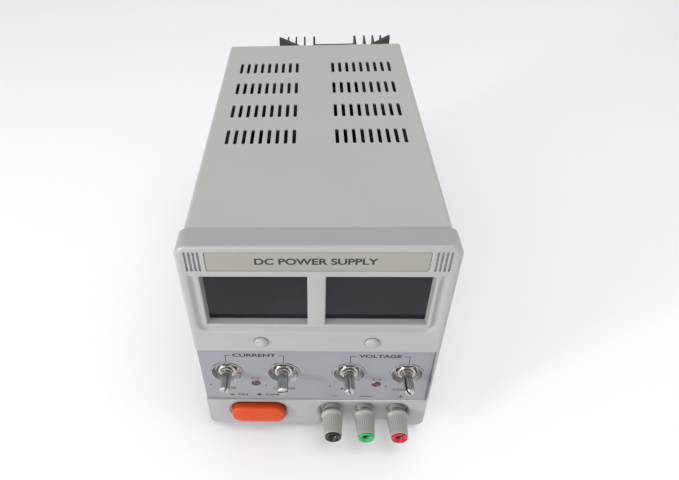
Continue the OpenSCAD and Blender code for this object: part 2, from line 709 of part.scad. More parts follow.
module inlet_pins() color([0.78, 0.76, 0.7]) from_front()
    for (p = pin_places) sheet(inlet_floor_y - 12, inlet_mouth_y - 5) translate([inlet_x + p[0], inlet_z + p[1]])
        square([4, 2], center = true);

// Screw-cap fuse holder
module fuse_holder() color([0.09, 0.09, 0.09]) from_front()
    difference() {
        union() {
            rod(inlet_x, fuse_z, rear_out, rear_out + 2, 8);
            rod(inlet_x, fuse_z, rear_out - 36, rear_out + eps, 6.3);
        }
        rod(inlet_x, fuse_z, rear_out - 34, rear_out + 3, 5.1);
    }

module fuse_cap() color([0.12, 0.12, 0.12]) from_front()
    difference() {
        union() {
            rod(inlet_x, fuse_z, rear_out + 2.3, rear_out + 8.5, 7);
            rod(inlet_x, fuse_z, rear_out - 9, rear_out + 2.4, 4.8);
        }
        rod(inlet_x, fuse_z, rear_out - 10, rear_out - 3, fuse_r + running_gap);
        block([inlet_x - 5, rear_out + 7.3, fuse_z - 0.7], [inlet_x + 5, rear_out + 9, fuse_z + 0.7]);
    }

module fuse_link() color([0.8, 0.8, 0.78]) from_front() {
    rod(inlet_x, fuse_z, rear_out - 18, rear_out - 8.5, fuse_r - 0.2);
    for (y = [rear_out - 23.3, rear_out - 8.6]) rod(inlet_x, fuse_z, y, y + 5.3, fuse_r);
}

// Mains voltage selector: a slider in a recess that a screwdriver moves
module voltage_selector() color([0.1, 0.1, 0.1]) from_front()
    difference() {
        union() {
            sheet(rear_out, rear_out + 1.5) translate([inlet_x, selector_z]) rounded(27, 17, 1.5);
            sheet(rear_out - 11, rear_out + eps) translate([inlet_x, selector_z]) square([22, 12], center = true);
        }
        sheet(rear_out - 5, rear_out + 2) translate([inlet_x, selector_z]) square([13, 6], center = true);
    }

module selector_slider() color([0.75, 0.12, 0.1]) from_front()
    difference() {
        block([inlet_x - 6.2, rear_out - 4.7, selector_z - 2.7], [inlet_x + 6.2 - slider_travel - 0.2, rear_out + 1, selector_z + 2.7]);
        block([inlet_x - 5, rear_out, selector_z - 0.6], [inlet_x - 1.2, rear_out + 2, selector_z + 0.6]);
    }

front_bezel();
name_label();
control_panel();
left_window();
right_window();
screw_caps();
bezel_screws();
case_cover();
bottom_tray();
rear_panel();
feet();
foot_screws();
cover_screws();
rear_screws();
current_fine_shaft();
current_coarse_shaft();
voltage_fine_shaft();
voltage_coarse_shaft();
pot_bodies();
pot_bushes();
pot_nuts();
pot_washers();
power_button();
power_switch();
cc_led();
cv_led();
led_collars();
terminal_studs();
terminal_insulators();
terminal_nuts();
black_clamp();
green_clamp();
red_clamp();
black_knob();
green_knob();
red_knob();
black_ring();
green_ring();
red_ring();
display_board();
display_modules();
transformer_core();
transformer_winding();
transformer_frame();
transformer_bolts();
main_board();
filter_capacitors();
bridge_rectifier();
relays();
board_standoffs();
heat_sink();
power_transistors();
heat_sink_screws();
mains_inlet();
inlet_pins();
fuse_holder();
fuse_cap();
fuse_link();
voltage_selector();
selector_slider();
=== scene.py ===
import math

import bmesh
import bpy
from mathutils import Matrix, Vector


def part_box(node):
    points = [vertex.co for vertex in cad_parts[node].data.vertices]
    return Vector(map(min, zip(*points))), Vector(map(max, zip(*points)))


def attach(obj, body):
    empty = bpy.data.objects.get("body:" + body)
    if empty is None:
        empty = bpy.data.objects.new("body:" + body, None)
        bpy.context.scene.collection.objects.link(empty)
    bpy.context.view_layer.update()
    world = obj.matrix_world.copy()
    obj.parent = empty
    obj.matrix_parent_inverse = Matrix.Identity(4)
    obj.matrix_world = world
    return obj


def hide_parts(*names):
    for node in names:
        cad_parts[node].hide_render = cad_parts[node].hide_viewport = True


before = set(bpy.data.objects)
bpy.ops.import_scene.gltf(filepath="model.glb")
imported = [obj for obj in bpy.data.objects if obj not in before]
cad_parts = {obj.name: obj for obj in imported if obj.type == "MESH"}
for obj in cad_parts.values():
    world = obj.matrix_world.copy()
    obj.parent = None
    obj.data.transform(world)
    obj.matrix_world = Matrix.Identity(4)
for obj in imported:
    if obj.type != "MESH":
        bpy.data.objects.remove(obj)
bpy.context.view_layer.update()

# Looks of the bench power supply. Shapes are built in millimetres, with X to the right, Z up from
# the floor and depths measured back from the bezel's face, and are then put into the frame.
MM = 0.001
FACE_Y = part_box("front_bezel")[0].y
CASE = "case"
scene = bpy.context.scene


def span(node):
    """Lowest and highest corner of a CAD node, in millimetres, with depths from the bezel's face."""
    face = Vector((0, FACE_Y, 0))
    low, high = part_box(node)
    return (low - face) / MM, (high - face) / MM


def middle(node):
    low, high = span(node)
    return (low + high) / 2


def arc(start, end, steps):
    """Angles in radians from start to end, both in degrees and both included."""
    return [math.radians(start + (end - start) * i / steps) for i in range(steps + 1)]


def round_inset(depth, radius):
    """How far a rounded front edge stands in at a depth behind the face."""
    if depth >= radius:
        return 0.0
    return radius - math.sqrt(radius ** 2 - (radius - depth) ** 2)


def blend_step(t):
    """Rises smoothly from 0 to 1 as t goes from 0 to 1."""
    t = min(max(t, 0.0), 1.0)
    return t * t * (3 - 2 * t)


# ---------------------------------------------------------------- camera, light and floor

CAMERA_PLACE = (-0.00196, -0.31937, 0.33636)
CAMERA_TILT = (48.27, 2.0, 2.09)
CAMERA_LENS = 29.66
CAMERA_SHIFT = 0.0813


def add_camera():
    data = bpy.data.cameras.new("camera")
    data.sensor_width = 36
    data.lens = CAMERA_LENS
    data.shift_x = CAMERA_SHIFT
    data.clip_start = 0.01
    camera = bpy.data.objects.new("camera", data)
    camera.location = CAMERA_PLACE
    camera.rotation_euler = [math.radians(a) for a in CAMERA_TILT]
    scene.collection.objects.link(camera)
    scene.camera = camera


def add_softbox(name, place, target, size, power):
    data = bpy.data.lights.new(name, "AREA")
    data.shape = "DISK"
    data.size = size
    data.energy = power
    lamp = bpy.data.objects.new(name, data)
    lamp.location = place
    lamp.rotation_euler = (Vector(target) - Vector(place)).to_track_quat("-Z", "Y").to_euler()
    scene.collection.objects.link(lamp)


def add_studio():
    scene.view_settings.view_transform = "Standard"
    world = bpy.data.worlds.new("studio")
    world.use_nodes = True
    sky = world.node_tree.nodes["Background"]
    sky.inputs["Color"].default_value = (0.97, 0.985, 1.0, 1)
    sky.inputs["Strength"].default_value = 0.72
    scene.world = world
    add_softbox("key", (-1.35, -0.9, 0.4), (0, -0.1, 0.08), 0.35, 14)
    add_softbox("front", (-0.4, -1.55, 0.5), (0, -0.1, 0.08), 1.0, 7.5)
    add_softbox("overhead", (0.4, -0.2, 1.5), (0, 0, 0.1), 1.2, 8)
    half = 3.0
    mesh = bpy.data.meshes.new("floor")
    corners = [(-half, -half, 0), (half, -half, 0), (half, half, 0), (-half, half, 0)]
    mesh.from_pydata(corners, [], [(0, 1, 2, 3)])
    floor = bpy.data.objects.new("floor", mesh)
    floor.data.materials.append(plain_floor())
    scene.collection.objects.link(floor)


# ---------------------------------------------------------------- materials

class Nodes:
    """Short hand for a material's node tree, with object coordinates in metres."""

    def __init__(self, name):
        self.material = bpy.data.materials.new(name)
        self.material.use_nodes = True
        self.tree = self.material.node_tree
        self.shader = self.tree.nodes["Principled BSDF"]
        self.coords = self.tree.nodes.new("ShaderNodeTexCoord").outputs["Object"]

    def add(self, kind, **inputs):
        node = self.tree.nodes.new(kind)
        for key, value in inputs.items():
            socket = node.inputs[key.replace("_", " ")]
            if isinstance(value, bpy.types.NodeSocket):
                self.tree.links.new(value, socket)
            else:
                socket.default_value = value
        return node

    def link(self, output, name):
        self.tree.links.new(output, self.shader.inputs[name])

    def stretched(self, factors):
        """Object coordinates stretched by a factor along each axis."""
        return self.add("ShaderNodeMapping", Vector=self.coords, Scale=factors).outputs["Vector"]

    def noise(self, scale, detail=3.0, coords=None, rough=0.55):
        made = self.add("ShaderNodeTexNoise", Vector=coords or self.coords, Scale=scale,
                        Detail=detail, Roughness=rough)
        return made.outputs["Fac"]

    def ramp(self, value, low, high, out_low=0.0, out_high=1.0):
        made = self.add("ShaderNodeMapRange", Value=value, From_Min=low, From_Max=high,
                        To_Min=out_low, To_Max=out_high)
        return made.outputs["Result"]

    def mix(self, factor, first, second):
        made = self.tree.nodes.new("ShaderNodeMix")
        made.data_type = "RGBA"
        for index, value in ((0, factor), (6, first), (7, second)):
            if isinstance(value, bpy.types.NodeSocket):
                self.tree.links.new(value, made.inputs[index])
            elif index == 0:
                made.inputs[0].default_value = value
            else:
                made.inputs[index].default_value = (*value, 1)
        return made.outputs[2]

    def math(self, operation, first, second):
        made = self.tree.nodes.new("ShaderNodeMath")
        made.operation = operation
        for index, value in enumerate((first, second)):
            if isinstance(value, bpy.types.NodeSocket):
                self.tree.links.new(value, made.inputs[index])
            else:
                made.inputs[index].default_value = value
        return made.outputs[0]

    def bump(self, height, strength, depth_mm, after=None):
        made = self.add("ShaderNodeBump", Height=height, Strength=strength, Distance=depth_mm * MM)
        if after is not None:
            self.tree.links.new(after, made.inputs["Normal"])
        return made.outputs["Normal"]

    def edge_wear(self, radius_mm):
        """1 along sharp outer edges and 0 elsewhere."""
        rounded = self.add("ShaderNodeBevel", Radius=radius_mm * MM)
        flat = self.tree.nodes.new("ShaderNodeNewGeometry").outputs["Normal"]
        turn = self.tree.nodes.new("ShaderNodeVectorMath")
        turn.operation = "DOT_PRODUCT"
        self.tree.links.new(rounded.outputs["Normal"], turn.inputs[0])
        self.tree.links.new(flat, turn.inputs[1])
        return self.ramp(turn.outputs["Value"], 0.995, 0.86)

    def painted_corner_shade(self, reach_mm):
        """Painted shade mask from ambient occlusion: 1 deep in corners and grooves and 0 on open faces."""
        made = self.add("ShaderNodeAmbientOcclusion", Distance=reach_mm * MM)
        made.samples = 6
        return self.ramp(made.outputs["AO"], 0.75, 0.25)

    def set(self, **values):
        for key, value in values.items():
            self.shader.inputs[key.replace("_", " ")].default_value = value
        return self


def tint(colour, factor):
    return tuple(min(1.0, c * factor) for c in colour)


def coloured(name, colour, roughness, mottle=0.06, mottle_scale=30, spread=0.06, dirt=0.0, reach_mm=2.5):
    """Base of most finishes: a colour and a roughness that both vary slowly over the surface."""
    n = Nodes(name)
    slow = n.ramp(n.noise(mottle_scale, 5.0), 0.3, 0.7)
    colour_out = n.mix(slow, tint(colour, 1 - mottle), tint(colour, 1 + mottle))
    # Painted shade: the occlusion mask darkens corners and recesses towards 0.42 of the colour.
    if dirt > 0:
        amount = n.math("MULTIPLY", n.painted_corner_shade(reach_mm), dirt)
        colour_out = n.mix(amount, colour_out, tint(colour, 0.42))
    n.link(colour_out, "Base Color")
    patches = n.ramp(n.noise(mottle_scale * 3, 4.0), 0.3, 0.7, roughness - spread, roughness + spread)
    n.link(patches, "Roughness")
    n.colour_out = colour_out
    return n


def moulded(name, colour, roughness=0.42, grain=2600, depth_mm=0.02, strength=0.25, **more):
    """Injection-moulded plastic with a fine spark-eroded grain."""
    n = coloured(name, colour, roughness, **more)
    n.link(n.bump(n.noise(grain, 2.0), strength, depth_mm), "Normal")
    return n


def bezel_plastic():
    # The bezel's corners and recesses get a light painted shade.
    n = moulded("bezel_plastic", (0.325, 0.32, 0.318), roughness=0.36, mottle=0.022, dirt=0.12)
    n.set(Specular_IOR_Level=0.5, Coat_Weight=0.12, Coat_Roughness=0.25)
    return n.material


def cover_paint():
    """Stoved paint on steel: orange peel, a few specks and faint rub marks."""
    colour = (0.394, 0.387, 0.373)
    # The cover gets painted shade in its corners and along its slots.
    n = coloured("cover_paint", colour, 0.48, mottle=0.022, mottle_scale=14, dirt=0.35)
    cells = n.add("ShaderNodeTexVoronoi", Vector=n.coords, Scale=55.0, Randomness=1.0)
    speck = n.ramp(cells.outputs["Distance"], 0.035, 0.015)
    rare = n.ramp(n.noise(21, 1.0), 0.62, 0.66)
    specks = n.math("MULTIPLY", speck, rare)
    with_specks = n.mix(n.math("MULTIPLY", specks, 0.7), n.colour_out, (0.16, 0.14, 0.12))
    n.link(with_specks, "Base Color")
    peel = n.bump(n.noise(520, 2.0), 0.35, 0.035)
    rubs = n.noise(900, 2.0, n.stretched((1.0, 0.06, 1.0)))
    n.link(n.bump(rubs, 0.06, 0.02, after=peel), "Normal")
    n.set(Specular_IOR_Level=0.45)
    return n.material


def printed_film(name, colour, roughness=0.4):
    """Screen-printed sheet with a faint weave of the printing mesh."""
    n = coloured(name, colour, roughness, mottle=0.03, mottle_scale=22)
    waves = n.add("ShaderNodeTexWave", Vector=n.coords, Scale=900.0, Distortion=0.4)
    grain = n.bump(n.noise(1500, 2.0), 0.12, 0.02)
    n.link(n.bump(waves.outputs["Fac"], 0.06, 0.01, after=grain), "Normal")
    return n


def smoked_acrylic():
    n = Nodes("smoked_acrylic")
    smudge = n.noise(38, 4.0)
    n.link(n.ramp(smudge, 0.42, 0.75, 0.02, 0.11), "Roughness")
    haze = n.ramp(n.noise(16, 2.0), 0.35, 0.7)
    n.link(n.mix(haze, (0.006, 0.006, 0.011), (0.02, 0.022, 0.034)), "Base Color")
    n.link(n.bump(n.noise(60, 1.0), 0.04, 0.03), "Normal")
    n.set(Transmission_Weight=0.5, IOR=1.45, Specular_IOR_Level=0.18)
    return n.material


def metal(name, colour, roughness, streaks=(1, 1, 1), streak_scale=400, tarnish=0.12, worn=0.0,
          reach_mm=2.0, dirt=0.6):
    """Plated or bare metal with drawn streaks, a dull, uneven tarnish and painted shade in its corners,
    slits and bores.
    """
    n = Nodes(name)
    n.set(Metallic=1.0)
    drawn = n.noise(streak_scale, 3.0, n.stretched(streaks))
    patch = n.ramp(n.noise(160, 4.0), 0.35, 0.7)
    colour_out = n.mix(n.math("MULTIPLY", patch, tarnish * 2), colour, tint(colour, 0.55))
    streak = n.ramp(drawn, 0.35, 0.6, 0.55, 0.0)
    colour_out = n.mix(streak, colour_out, tint(colour, 0.4))
    # Painted shade: the occlusion mask darkens corners, slits and bores to a tenth of the colour.
    colour_out = n.mix(n.math("MULTIPLY", n.painted_corner_shade(reach_mm), dirt), colour_out, tint(colour, 0.1))
    if worn > 0:
        colour_out = n.mix(n.math("MULTIPLY", n.edge_wear(0.25), worn), colour_out, (0.75, 0.74, 0.72))
    n.link(colour_out, "Base Color")
    n.link(n.ramp(drawn, 0.3, 0.7, roughness * 0.75, roughness * 1.35), "Roughness")
    n.link(n.bump(drawn, 0.18, 0.02), "Normal")
    return n


def galvanised_steel():
    """Zinc-coated sheet with its spangle of crystals."""
    n = Nodes("galvanised_steel")
    cells = n.add("ShaderNodeTexVoronoi", Vector=n.coords, Scale=190.0)
    grey = n.add("ShaderNodeRGBToBW", Color=cells.outputs["Color"]).outputs["Val"]
    n.link(n.mix(grey, (0.43, 0.45, 0.48), (0.62, 0.64, 0.66)), "Base Color")
    n.link(n.ramp(grey, 0.0, 1.0, 0.3, 0.48), "Roughness")
    n.link(n.bump(n.noise(700, 2.0), 0.1, 0.02), "Normal")
    n.set(Metallic=0.9)
    return n.material


def foot_rubber():
    n = moulded("foot_rubber", (0.022, 0.022, 0.023), roughness=0.72, grain=1600, mottle=0.25)
    n.set(Specular_IOR_Level=0.35)
    return n.material


def phenolic():
    """Layered brown board that carries the pots' tags."""
    n = coloured("phenolic", (0.30, 0.21, 0.12), 0.5, mottle=0.18, mottle_scale=60)
    layers = n.noise(800, 2.0, n.stretched((1, 0.1, 1)))
    n.link(n.bump(layers, 0.2, 0.03), "Normal")
    return n.material


def orange_plastic():
    """Glossy ABS of the power button, with strong painted shade over a long reach that darkens its top and
    sides near the strip.
    """
    n = moulded("orange_plastic", (0.51, 0.047, 0.001), roughness=0.42, grain=2200, depth_mm=0.012,
                strength=0.2, mottle=0.045, mottle_scale=45, dirt=0.9, reach_mm=9)
    n.set(Specular_IOR_Level=0.3, Subsurface_Weight=0.08, Subsurface_Scale=0.002)
    return n.material


def led_red():
    """Tinted epoxy of an unlit lamp."""
    n = coloured("led_red", (0.1, 0.003, 0.022), 0.12, mottle=0.25, mottle_scale=400, spread=0.04)
    n.set(Transmission_Weight=0.3, IOR=1.5, Coat_Weight=0.6, Coat_Roughness=0.05)
    return n.material


def grey_plastic():
    # Painted shade darkens the grips in their flutes and close to the bezel.
    n = moulded("grey_plastic", (0.335, 0.32, 0.3), roughness=0.42, grain=2400, mottle=0.035,
                mottle_scale=70, dirt=0.25)
    n.set(Subsurface_Weight=0.08, Subsurface_Scale=0.0015)
    return n.material


def ring_finish(name, colour):
    n = moulded(name, colour, roughness=0.16, grain=900, depth_mm=0.01, strength=0.12, mottle=0.08,
                mottle_scale=150, spread=0.05)
    n.set(Coat_Weight=0.25, Coat_Roughness=0.06, Specular_IOR_Level=0.35)
    return n


def circuit_board():
    """Green solder mask over tracks that show as raised lines, with tinned pads."""
    n = Nodes("circuit_board")
    tracks = n.add("ShaderNodeTexBrick", Vector=n.coords, Scale=140.0)
    tracks.inputs["Color1"].default_value = (1, 1, 1, 1)
    tracks.inputs["Color2"].default_value = (0.8, 0.8, 0.8, 1)
    tracks.inputs["Mortar"].default_value = (0, 0, 0, 1)
    mask = n.mix(tracks.outputs["Fac"], (0.012, 0.085, 0.035), (0.02, 0.16, 0.06))
    pads = n.add("ShaderNodeTexVoronoi", Vector=n.coords, Scale=230.0, Randomness=0.35)
    dots = n.ramp(pads.outputs["Distance"], 0.2, 0.16)
    n.link(n.mix(dots, mask, (0.55, 0.55, 0.52)), "Base Color")
    n.link(n.ramp(n.noise(300, 2.0), 0.3, 0.7, 0.25, 0.45), "Roughness")
    n.link(n.bump(tracks.outputs["Fac"], 0.3, 0.05), "Normal")
    return n.material


def core_steel():
    """Edges of the core's laminations under varnish."""
    n = Nodes("core_steel")
    sheets = n.noise(2600, 1.0, n.stretched((0.02, 1, 0.02)))
    n.link(n.mix(n.ramp(sheets, 0.35, 0.65), (0.07, 0.065, 0.06), (0.2, 0.19, 0.18)), "Base Color")
    n.link(n.ramp(sheets, 0.3, 0.7, 0.35, 0.6), "Roughness")
    n.link(n.bump(sheets, 0.5, 0.08), "Normal")
    n.set(Metallic=0.7)
    return n.material


def winding_copper():
    """Enamelled wire under a wrap of amber tape, with the turns showing through."""
    n = Nodes("winding_copper")
    turns = n.add("ShaderNodeTexWave", Vector=n.coords, Scale=260.0, Distortion=0.6, Detail=1.0)
    turns.bands_direction = "Z"
    n.link(n.mix(turns.outputs["Fac"], (0.32, 0.16, 0.035), (0.62, 0.38, 0.1)), "Base Color")
    n.link(n.ramp(n.noise(90, 3.0), 0.3, 0.7, 0.25, 0.5), "Roughness")
    n.link(n.bump(turns.outputs["Fac"], 0.5, 0.2), "Normal")
    return n.material


def black_anodised():
    """Extruded aluminium, anodised black, with the die's lines and bright worn edges."""
    n = Nodes("black_anodised")
    lines = n.noise(1800, 2.0, n.stretched((1, 1, 0.015)))
    base = n.mix(n.ramp(n.noise(45, 4.0), 0.3, 0.7), (0.007, 0.007, 0.008), (0.018, 0.018, 0.018))
    n.link(n.mix(n.math("MULTIPLY", n.edge_wear(0.3), 0.4), base, (0.3, 0.3, 0.3)), "Base Color")
    n.link(n.ramp(lines, 0.3, 0.7, 0.36, 0.55), "Roughness")
    n.link(n.bump(lines, 0.3, 0.05), "Normal")
    n.set(Metallic=0.3)
    return n.material


def fuse_glass():
    n = coloured("fuse_glass", (0.7, 0.72, 0.7), 0.15, mottle=0.08, mottle_scale=300)
    n.link(n.bump(n.noise(800, 1.0), 0.08, 0.02), "Normal")
    n.set(Transmission_Weight=0.5, IOR=1.5)
    return n.material


def plain_floor():
    n = coloured("studio_floor", (0.87, 0.87, 0.872), 0.6, mottle=0.006, mottle_scale=3)
    n.link(n.bump(n.noise(260, 2.0), 0.03, 0.05), "Normal")
    return n.material


def printing_ink():
    """Matt black screen-printing ink with slightly uneven cover."""
    n = coloured("printing_ink", (0.012, 0.012, 0.016), 0.6, mottle=0.35, mottle_scale=500)
    n.link(n.bump(n.noise(1800, 2.0), 0.15, 0.01), "Normal")
    return n.material


MAKERS = {maker.__name__: maker for maker in (
    bezel_plastic, cover_paint, smoked_acrylic, galvanised_steel, foot_rubber, phenolic,
    orange_plastic, led_red, grey_plastic, circuit_board, core_steel, winding_copper,
    black_anodised, fuse_glass, printing_ink,
)}

# Finishes that need no more than settings: how they are built, their colour and the rest
RECIPES = {
    "panel_film": (printed_film, (0.236, 0.239, 0.259), {}),
    "label_film": (printed_film, (0.27, 0.253, 0.228), {"roughness": 0.45}),
    "nickel_plate": (metal, (0.66, 0.64, 0.59), {"roughness": 0.22, "tarnish": 0.2}),
    "zinc_screws": (metal, (0.66, 0.66, 0.67), {"roughness": 0.28, "tarnish": 0.25}),
    "transistor_can": (metal, (0.62, 0.61, 0.58), {"roughness": 0.3, "tarnish": 0.3}),
    "shaft_metal": (metal, (0.57, 0.595, 0.585),
                    {"roughness": 0.3, "streaks": (1, 0.05, 1), "streak_scale": 1400}),
    # Brass gets strong painted shade with a long reach, which darkens it deep in the posts' bores.
    "brass": (metal, (0.5, 0.38, 0.18), {"roughness": 0.35, "tarnish": 0.25, "reach_mm": 9, "dirt": 0.95}),
    "rear_paint": (moulded, (0.42, 0.415, 0.405),
                   {"roughness": 0.5, "grain": 900, "depth_mm": 0.04, "mottle": 0.03}),
    "capacitor_sleeve": (moulded, (0.02, 0.035, 0.11),
                         {"roughness": 0.3, "grain": 500, "depth_mm": 0.05, "mottle": 0.12}),
    "black_plastic": (moulded, (0.018, 0.018, 0.019), {"roughness": 0.4, "grain": 1800, "mottle": 0.2}),
    "relay_blue": (moulded, (0.015, 0.06, 0.3), {"roughness": 0.35, "grain": 1500, "mottle": 0.1}),
    "slider_red": (moulded, (0.5, 0.018, 0.015), {"roughness": 0.35, "grain": 1800, "mottle": 0.08}),
    "meter_face": (moulded, (0.06, 0.065, 0.075), {"roughness": 0.35, "grain": 1200, "mottle": 0.15}),
    "meter_segment": (moulded, (0.42, 0.40, 0.40), {"roughness": 0.3, "grain": 900, "mottle": 0.08}),
    "ring_black": (ring_finish, (0.002, 0.002, 0.002), {}),
    "ring_green": (ring_finish, (0.002, 0.36, 0.075), {}),
    "ring_red": (ring_finish, (0.44, 0.004, 0.012), {}),
}
FINISHES = {}


def finish(name):
    """The material of that name, built once."""
    if name not in FINISHES and name in RECIPES:
        build, colour, settings = RECIPES[name]
        FINISHES[name] = build(name, colour, **settings).material
    elif name not in FINISHES:
        FINISHES[name] = MAKERS[name]()
    return FINISHES[name]


# ---------------------------------------------------------------- mesh tools

def loft(bm, rings, closed=False):
    """Skins a row of rings with the same number of points. An open row is capped at both ends;
    a closed row joins its last ring to its first."""
    rows = [[bm.verts.new(point) for point in ring] for ring in rings]
    count = len(rows[0])
    pairs = list(zip(rows, rows[1:]))
    if closed:
        pairs.append((rows[-1], rows[0]))
    for near, far in pairs:
        for i in range(count):
            j = (i + 1) % count
            bm.faces.new((near[i], near[j], far[j], far[i]))
    if not closed:
        bm.faces.new(rows[0])
        bm.faces.new(rows[-1])


def turned(bm, x, z, section, sides=48, closed=False, shape=None):
    """Turns a section, pairs of depth and radius, about an axis along the depth. shape gives the
    radius at an angle, from the angle, the depth and the section's radius."""
    rings = []
    for depth, radius in section:
        ring = []
        for i in range(sides):
            angle = 2 * math.pi * i / sides
            r = shape(angle, depth, radius) if shape else radius
            ring.append((x + r * math.cos(angle), depth, z + r * math.sin(angle)))
        rings.append(ring)
    loft(bm, rings, closed)


def rounded_rect(x, z, w, h, r, steps=8):
    """Outline of a rectangle with round corners, as points (x, z)."""
    r = max(r, 0.02)
    corners = [(w / 2 - r, -h / 2 + r, -90), (w / 2 - r, h / 2 - r, 0),
               (-w / 2 + r, h / 2 - r, 90), (-w / 2 + r, -h / 2 + r, 180)]
    return [(x + cx + r * math.cos(a), z + cz + r * math.sin(a))
            for cx, cz, start in corners for a in arc(start, start + 90, steps)]


def ring_at(outline, depth):
    return [(px, depth, pz) for px, pz in outline]


def pocket(bm, outline, face, floor, lip, floor_r=0.0):
    """Cutter for a pocket. outline(g) gives the opening's outline grown by g. The opening's edge
    at depth face is rounded by lip, and the floor's corner by floor_r."""
    rings = [ring_at(outline(lip), face - 1.5)]
    if lip > 0:
        rings += [ring_at(outline(lip * (1 - math.cos(t))), face + lip * (1 - math.sin(t)))
                  for t in arc(90, 0, 5)]
    if floor_r > 0:
        rings += [ring_at(outline(-floor_r * (1 - math.cos(t))), floor - floor_r * (1 - math.sin(t)))
                  for t in arc(0, 90, 4)]
    else:
        rings.append(ring_at(outline(0), floor))
    loft(bm, rings)


def block(bm, low, high):
    """Box between two corners."""
    rings = []
    for y in (low[1], high[1]):
        rings.append([(low[0], y, low[2]), (high[0], y, low[2]),
                      (high[0], y, high[2]), (low[0], y, high[2])])
    loft(bm, rings)


def solid(bm, name="solid"):
    """Object in millimetres from a bmesh, for cutting and joining."""
    bmesh.ops.recalc_face_normals(bm, faces=bm.faces)
    mesh = bpy.data.meshes.new(name)
    bm.to_mesh(mesh)
    bm.free()
    made = bpy.data.objects.new(name, mesh)
    scene.collection.objects.link(made)
    return made


def settle(obj):
    """Puts the result of an object's modifiers into its mesh."""
    graph = bpy.context.evaluated_depsgraph_get()
    mesh = bpy.data.meshes.new_from_object(obj.evaluated_get(graph))
    old = obj.data
    obj.modifiers.clear()
    obj.data = mesh
    bpy.data.meshes.remove(old)


def discard(obj):
    mesh = obj.data
    bpy.data.objects.remove(obj)
    bpy.data.meshes.remove(mesh)


def carve(obj, tools, operation="DIFFERENCE"):
    """Cuts each tool out of an object, or joins it on, and discards the tools."""
    for tool in tools:
        change = obj.modifiers.new("carve", "BOOLEAN")
        change.operation = operation
        change.solver = "EXACT"
        change.object = tool
        settle(obj)
        discard(tool)


def tool(build, *args, **kwargs):
    """A cutter made by one of the mesh functions above."""
    bm = bmesh.new()
    build(bm, *args, **kwargs)
    return solid(bm, "cutter")


def place(obj, name, material, body=CASE, slot=None, stands_for=(), sharp=32):
    """Moves a millimetre object into the frame, finishes it and sets what it rides on."""
    move = Matrix.Translation((0, FACE_Y, 0)) @ Matrix.Scale(MM, 4)
    obj.name = name
    obj.data.name = name
    obj.data.transform(move)
    obj.data.materials.clear()
    obj.data.materials.append(finish(material))
    obj.data.shade_smooth()
    obj.data.set_sharp_from_angle(angle=math.radians(sharp))
    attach(obj, body)
    if stands_for:
        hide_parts(*stands_for)
    return obj


def piece(bm, name, material, body=CASE, slot=None, stands_for=(), sharp=32):
    return place(solid(bm, name), name, material, body, slot or None, stands_for, sharp)


def round_edges(obj, width_mm, segments=2, angle=35, scale=1.0):
    """Rounds the sharp edges of an object, and keeps its flat faces flat."""
    weld = obj.modifiers.new("weld", "WELD")
    weld.merge_threshold = 0.002 * scale
    flat = obj.modifiers.new("flat", "DECIMATE")
    flat.decimate_type = "DISSOLVE"
    flat.angle_limit = math.radians(0.6)
    bevel = obj.modifiers.new("round", "BEVEL")
    bevel.width = width_mm * scale
    bevel.segments = segments
    bevel.limit_method = "ANGLE"
    bevel.angle_limit = math.radians(angle)
    normals = obj.modifiers.new("normals", "WEIGHTED_NORMAL")
    normals.keep_sharp = True


# ---------------------------------------------------------------- places taken from the frame

bezel_low, bezel_high = span("front_bezel")
BEZEL_HALF = bezel_high.x
BEZEL_TOP = bezel_high.z
BEZEL_LOW = bezel_low.z
BEZEL_BACK = bezel_high.y
cover_high = span("case_cover")[1]
COVER_HALF = cover_high.x
COVER_TOP = cover_high.z
CAP_R = 3.85
panel_low, panel_high = span("control_panel")
PANEL_Y = panel_low.y
PANEL_BACK = panel_high.y
PANEL_LOW = panel_low.z - 0.2
PANEL_TOP = panel_high.z + 0.2
CHEEK_X = panel_high.x + 0.2
STRIP_Y = PANEL_Y - 1.0
POTS = {"current_fine": 24, "current_coarse": 82, "voltage_fine": -18, "voltage_coarse": -38}
POT_X = {name: middle(name + "_shaft").x for name in POTS}
POT_Z = middle("current_fine_shaft").z
WELL_R = 9.0
WELL_RIM = 0.5
WELL_FLOOR = span("pot_washers")[1].y
LEDS = {"cc_led": middle("cc_led"), "cv_led": middle("cv_led")}
POSTS = ("black", "green", "red")
POST_X = {name: middle(name + "_ring").x for name in POSTS}
POST_Z = middle("black_ring").z
button_low, button_high = span("power_button")
BUTTON_X = middle("power_button").x
BUTTON_Z = middle("power_button").z
BUTTON_W = button_high.x - button_low.x
BUTTON_H = button_high.z - button_low.z
label_low, label_high = span("name_label")


# ---------------------------------------------------------------- front bezel

WINDOW_LAP = 2.0
WINDOW_LIP = 0.9
HOOD_WALL = span("left_window")[0].y


def window_outline(node):
    """Opening in front of a pane, which reaches past it by WINDOW_LAP all round."""
    low, high = span(node)
    x, z = (low.x + high.x) / 2, (low.z + high.z) / 2
    w, h = high.x - low.x - 2 * WINDOW_LAP, high.z - low.z - 2 * WINDOW_LAP
    return lambda g: rounded_rect(x, z, w + 2 * g, h + 2 * g, 0.3 + g)


def window_cutter(bm, node):
    """Opening with a rounded edge, whose outer side and sill slope in towards the pane."""
    outline = window_outline(node)
    side = 1 if middle(node).x > 0 else -1
    rings = [ring_at(outline(WINDOW_LIP), -1.5)]
    rings += [ring_at(outline(round_inset(depth, WINDOW_LIP)), depth)
              for depth in (0, 0.06, 0.2, 0.4, 0.65, WINDOW_LIP)]
    low, high = span(node)
    mid = middle(node)
    half = (high.x - low.x) / 2 - WINDOW_LAP

    def sloped(px, pz):
        outer = px - side * 1.0 if (px - mid.x) * side > half - 1 else px
        return outer, pz + (0.8 if pz < mid.z else -0.3)

    rings.append([(x, HOOD_WALL + 1, z) for x, z in (sloped(px, pz) for px, pz in outline(0))])
    loft(bm, rings)


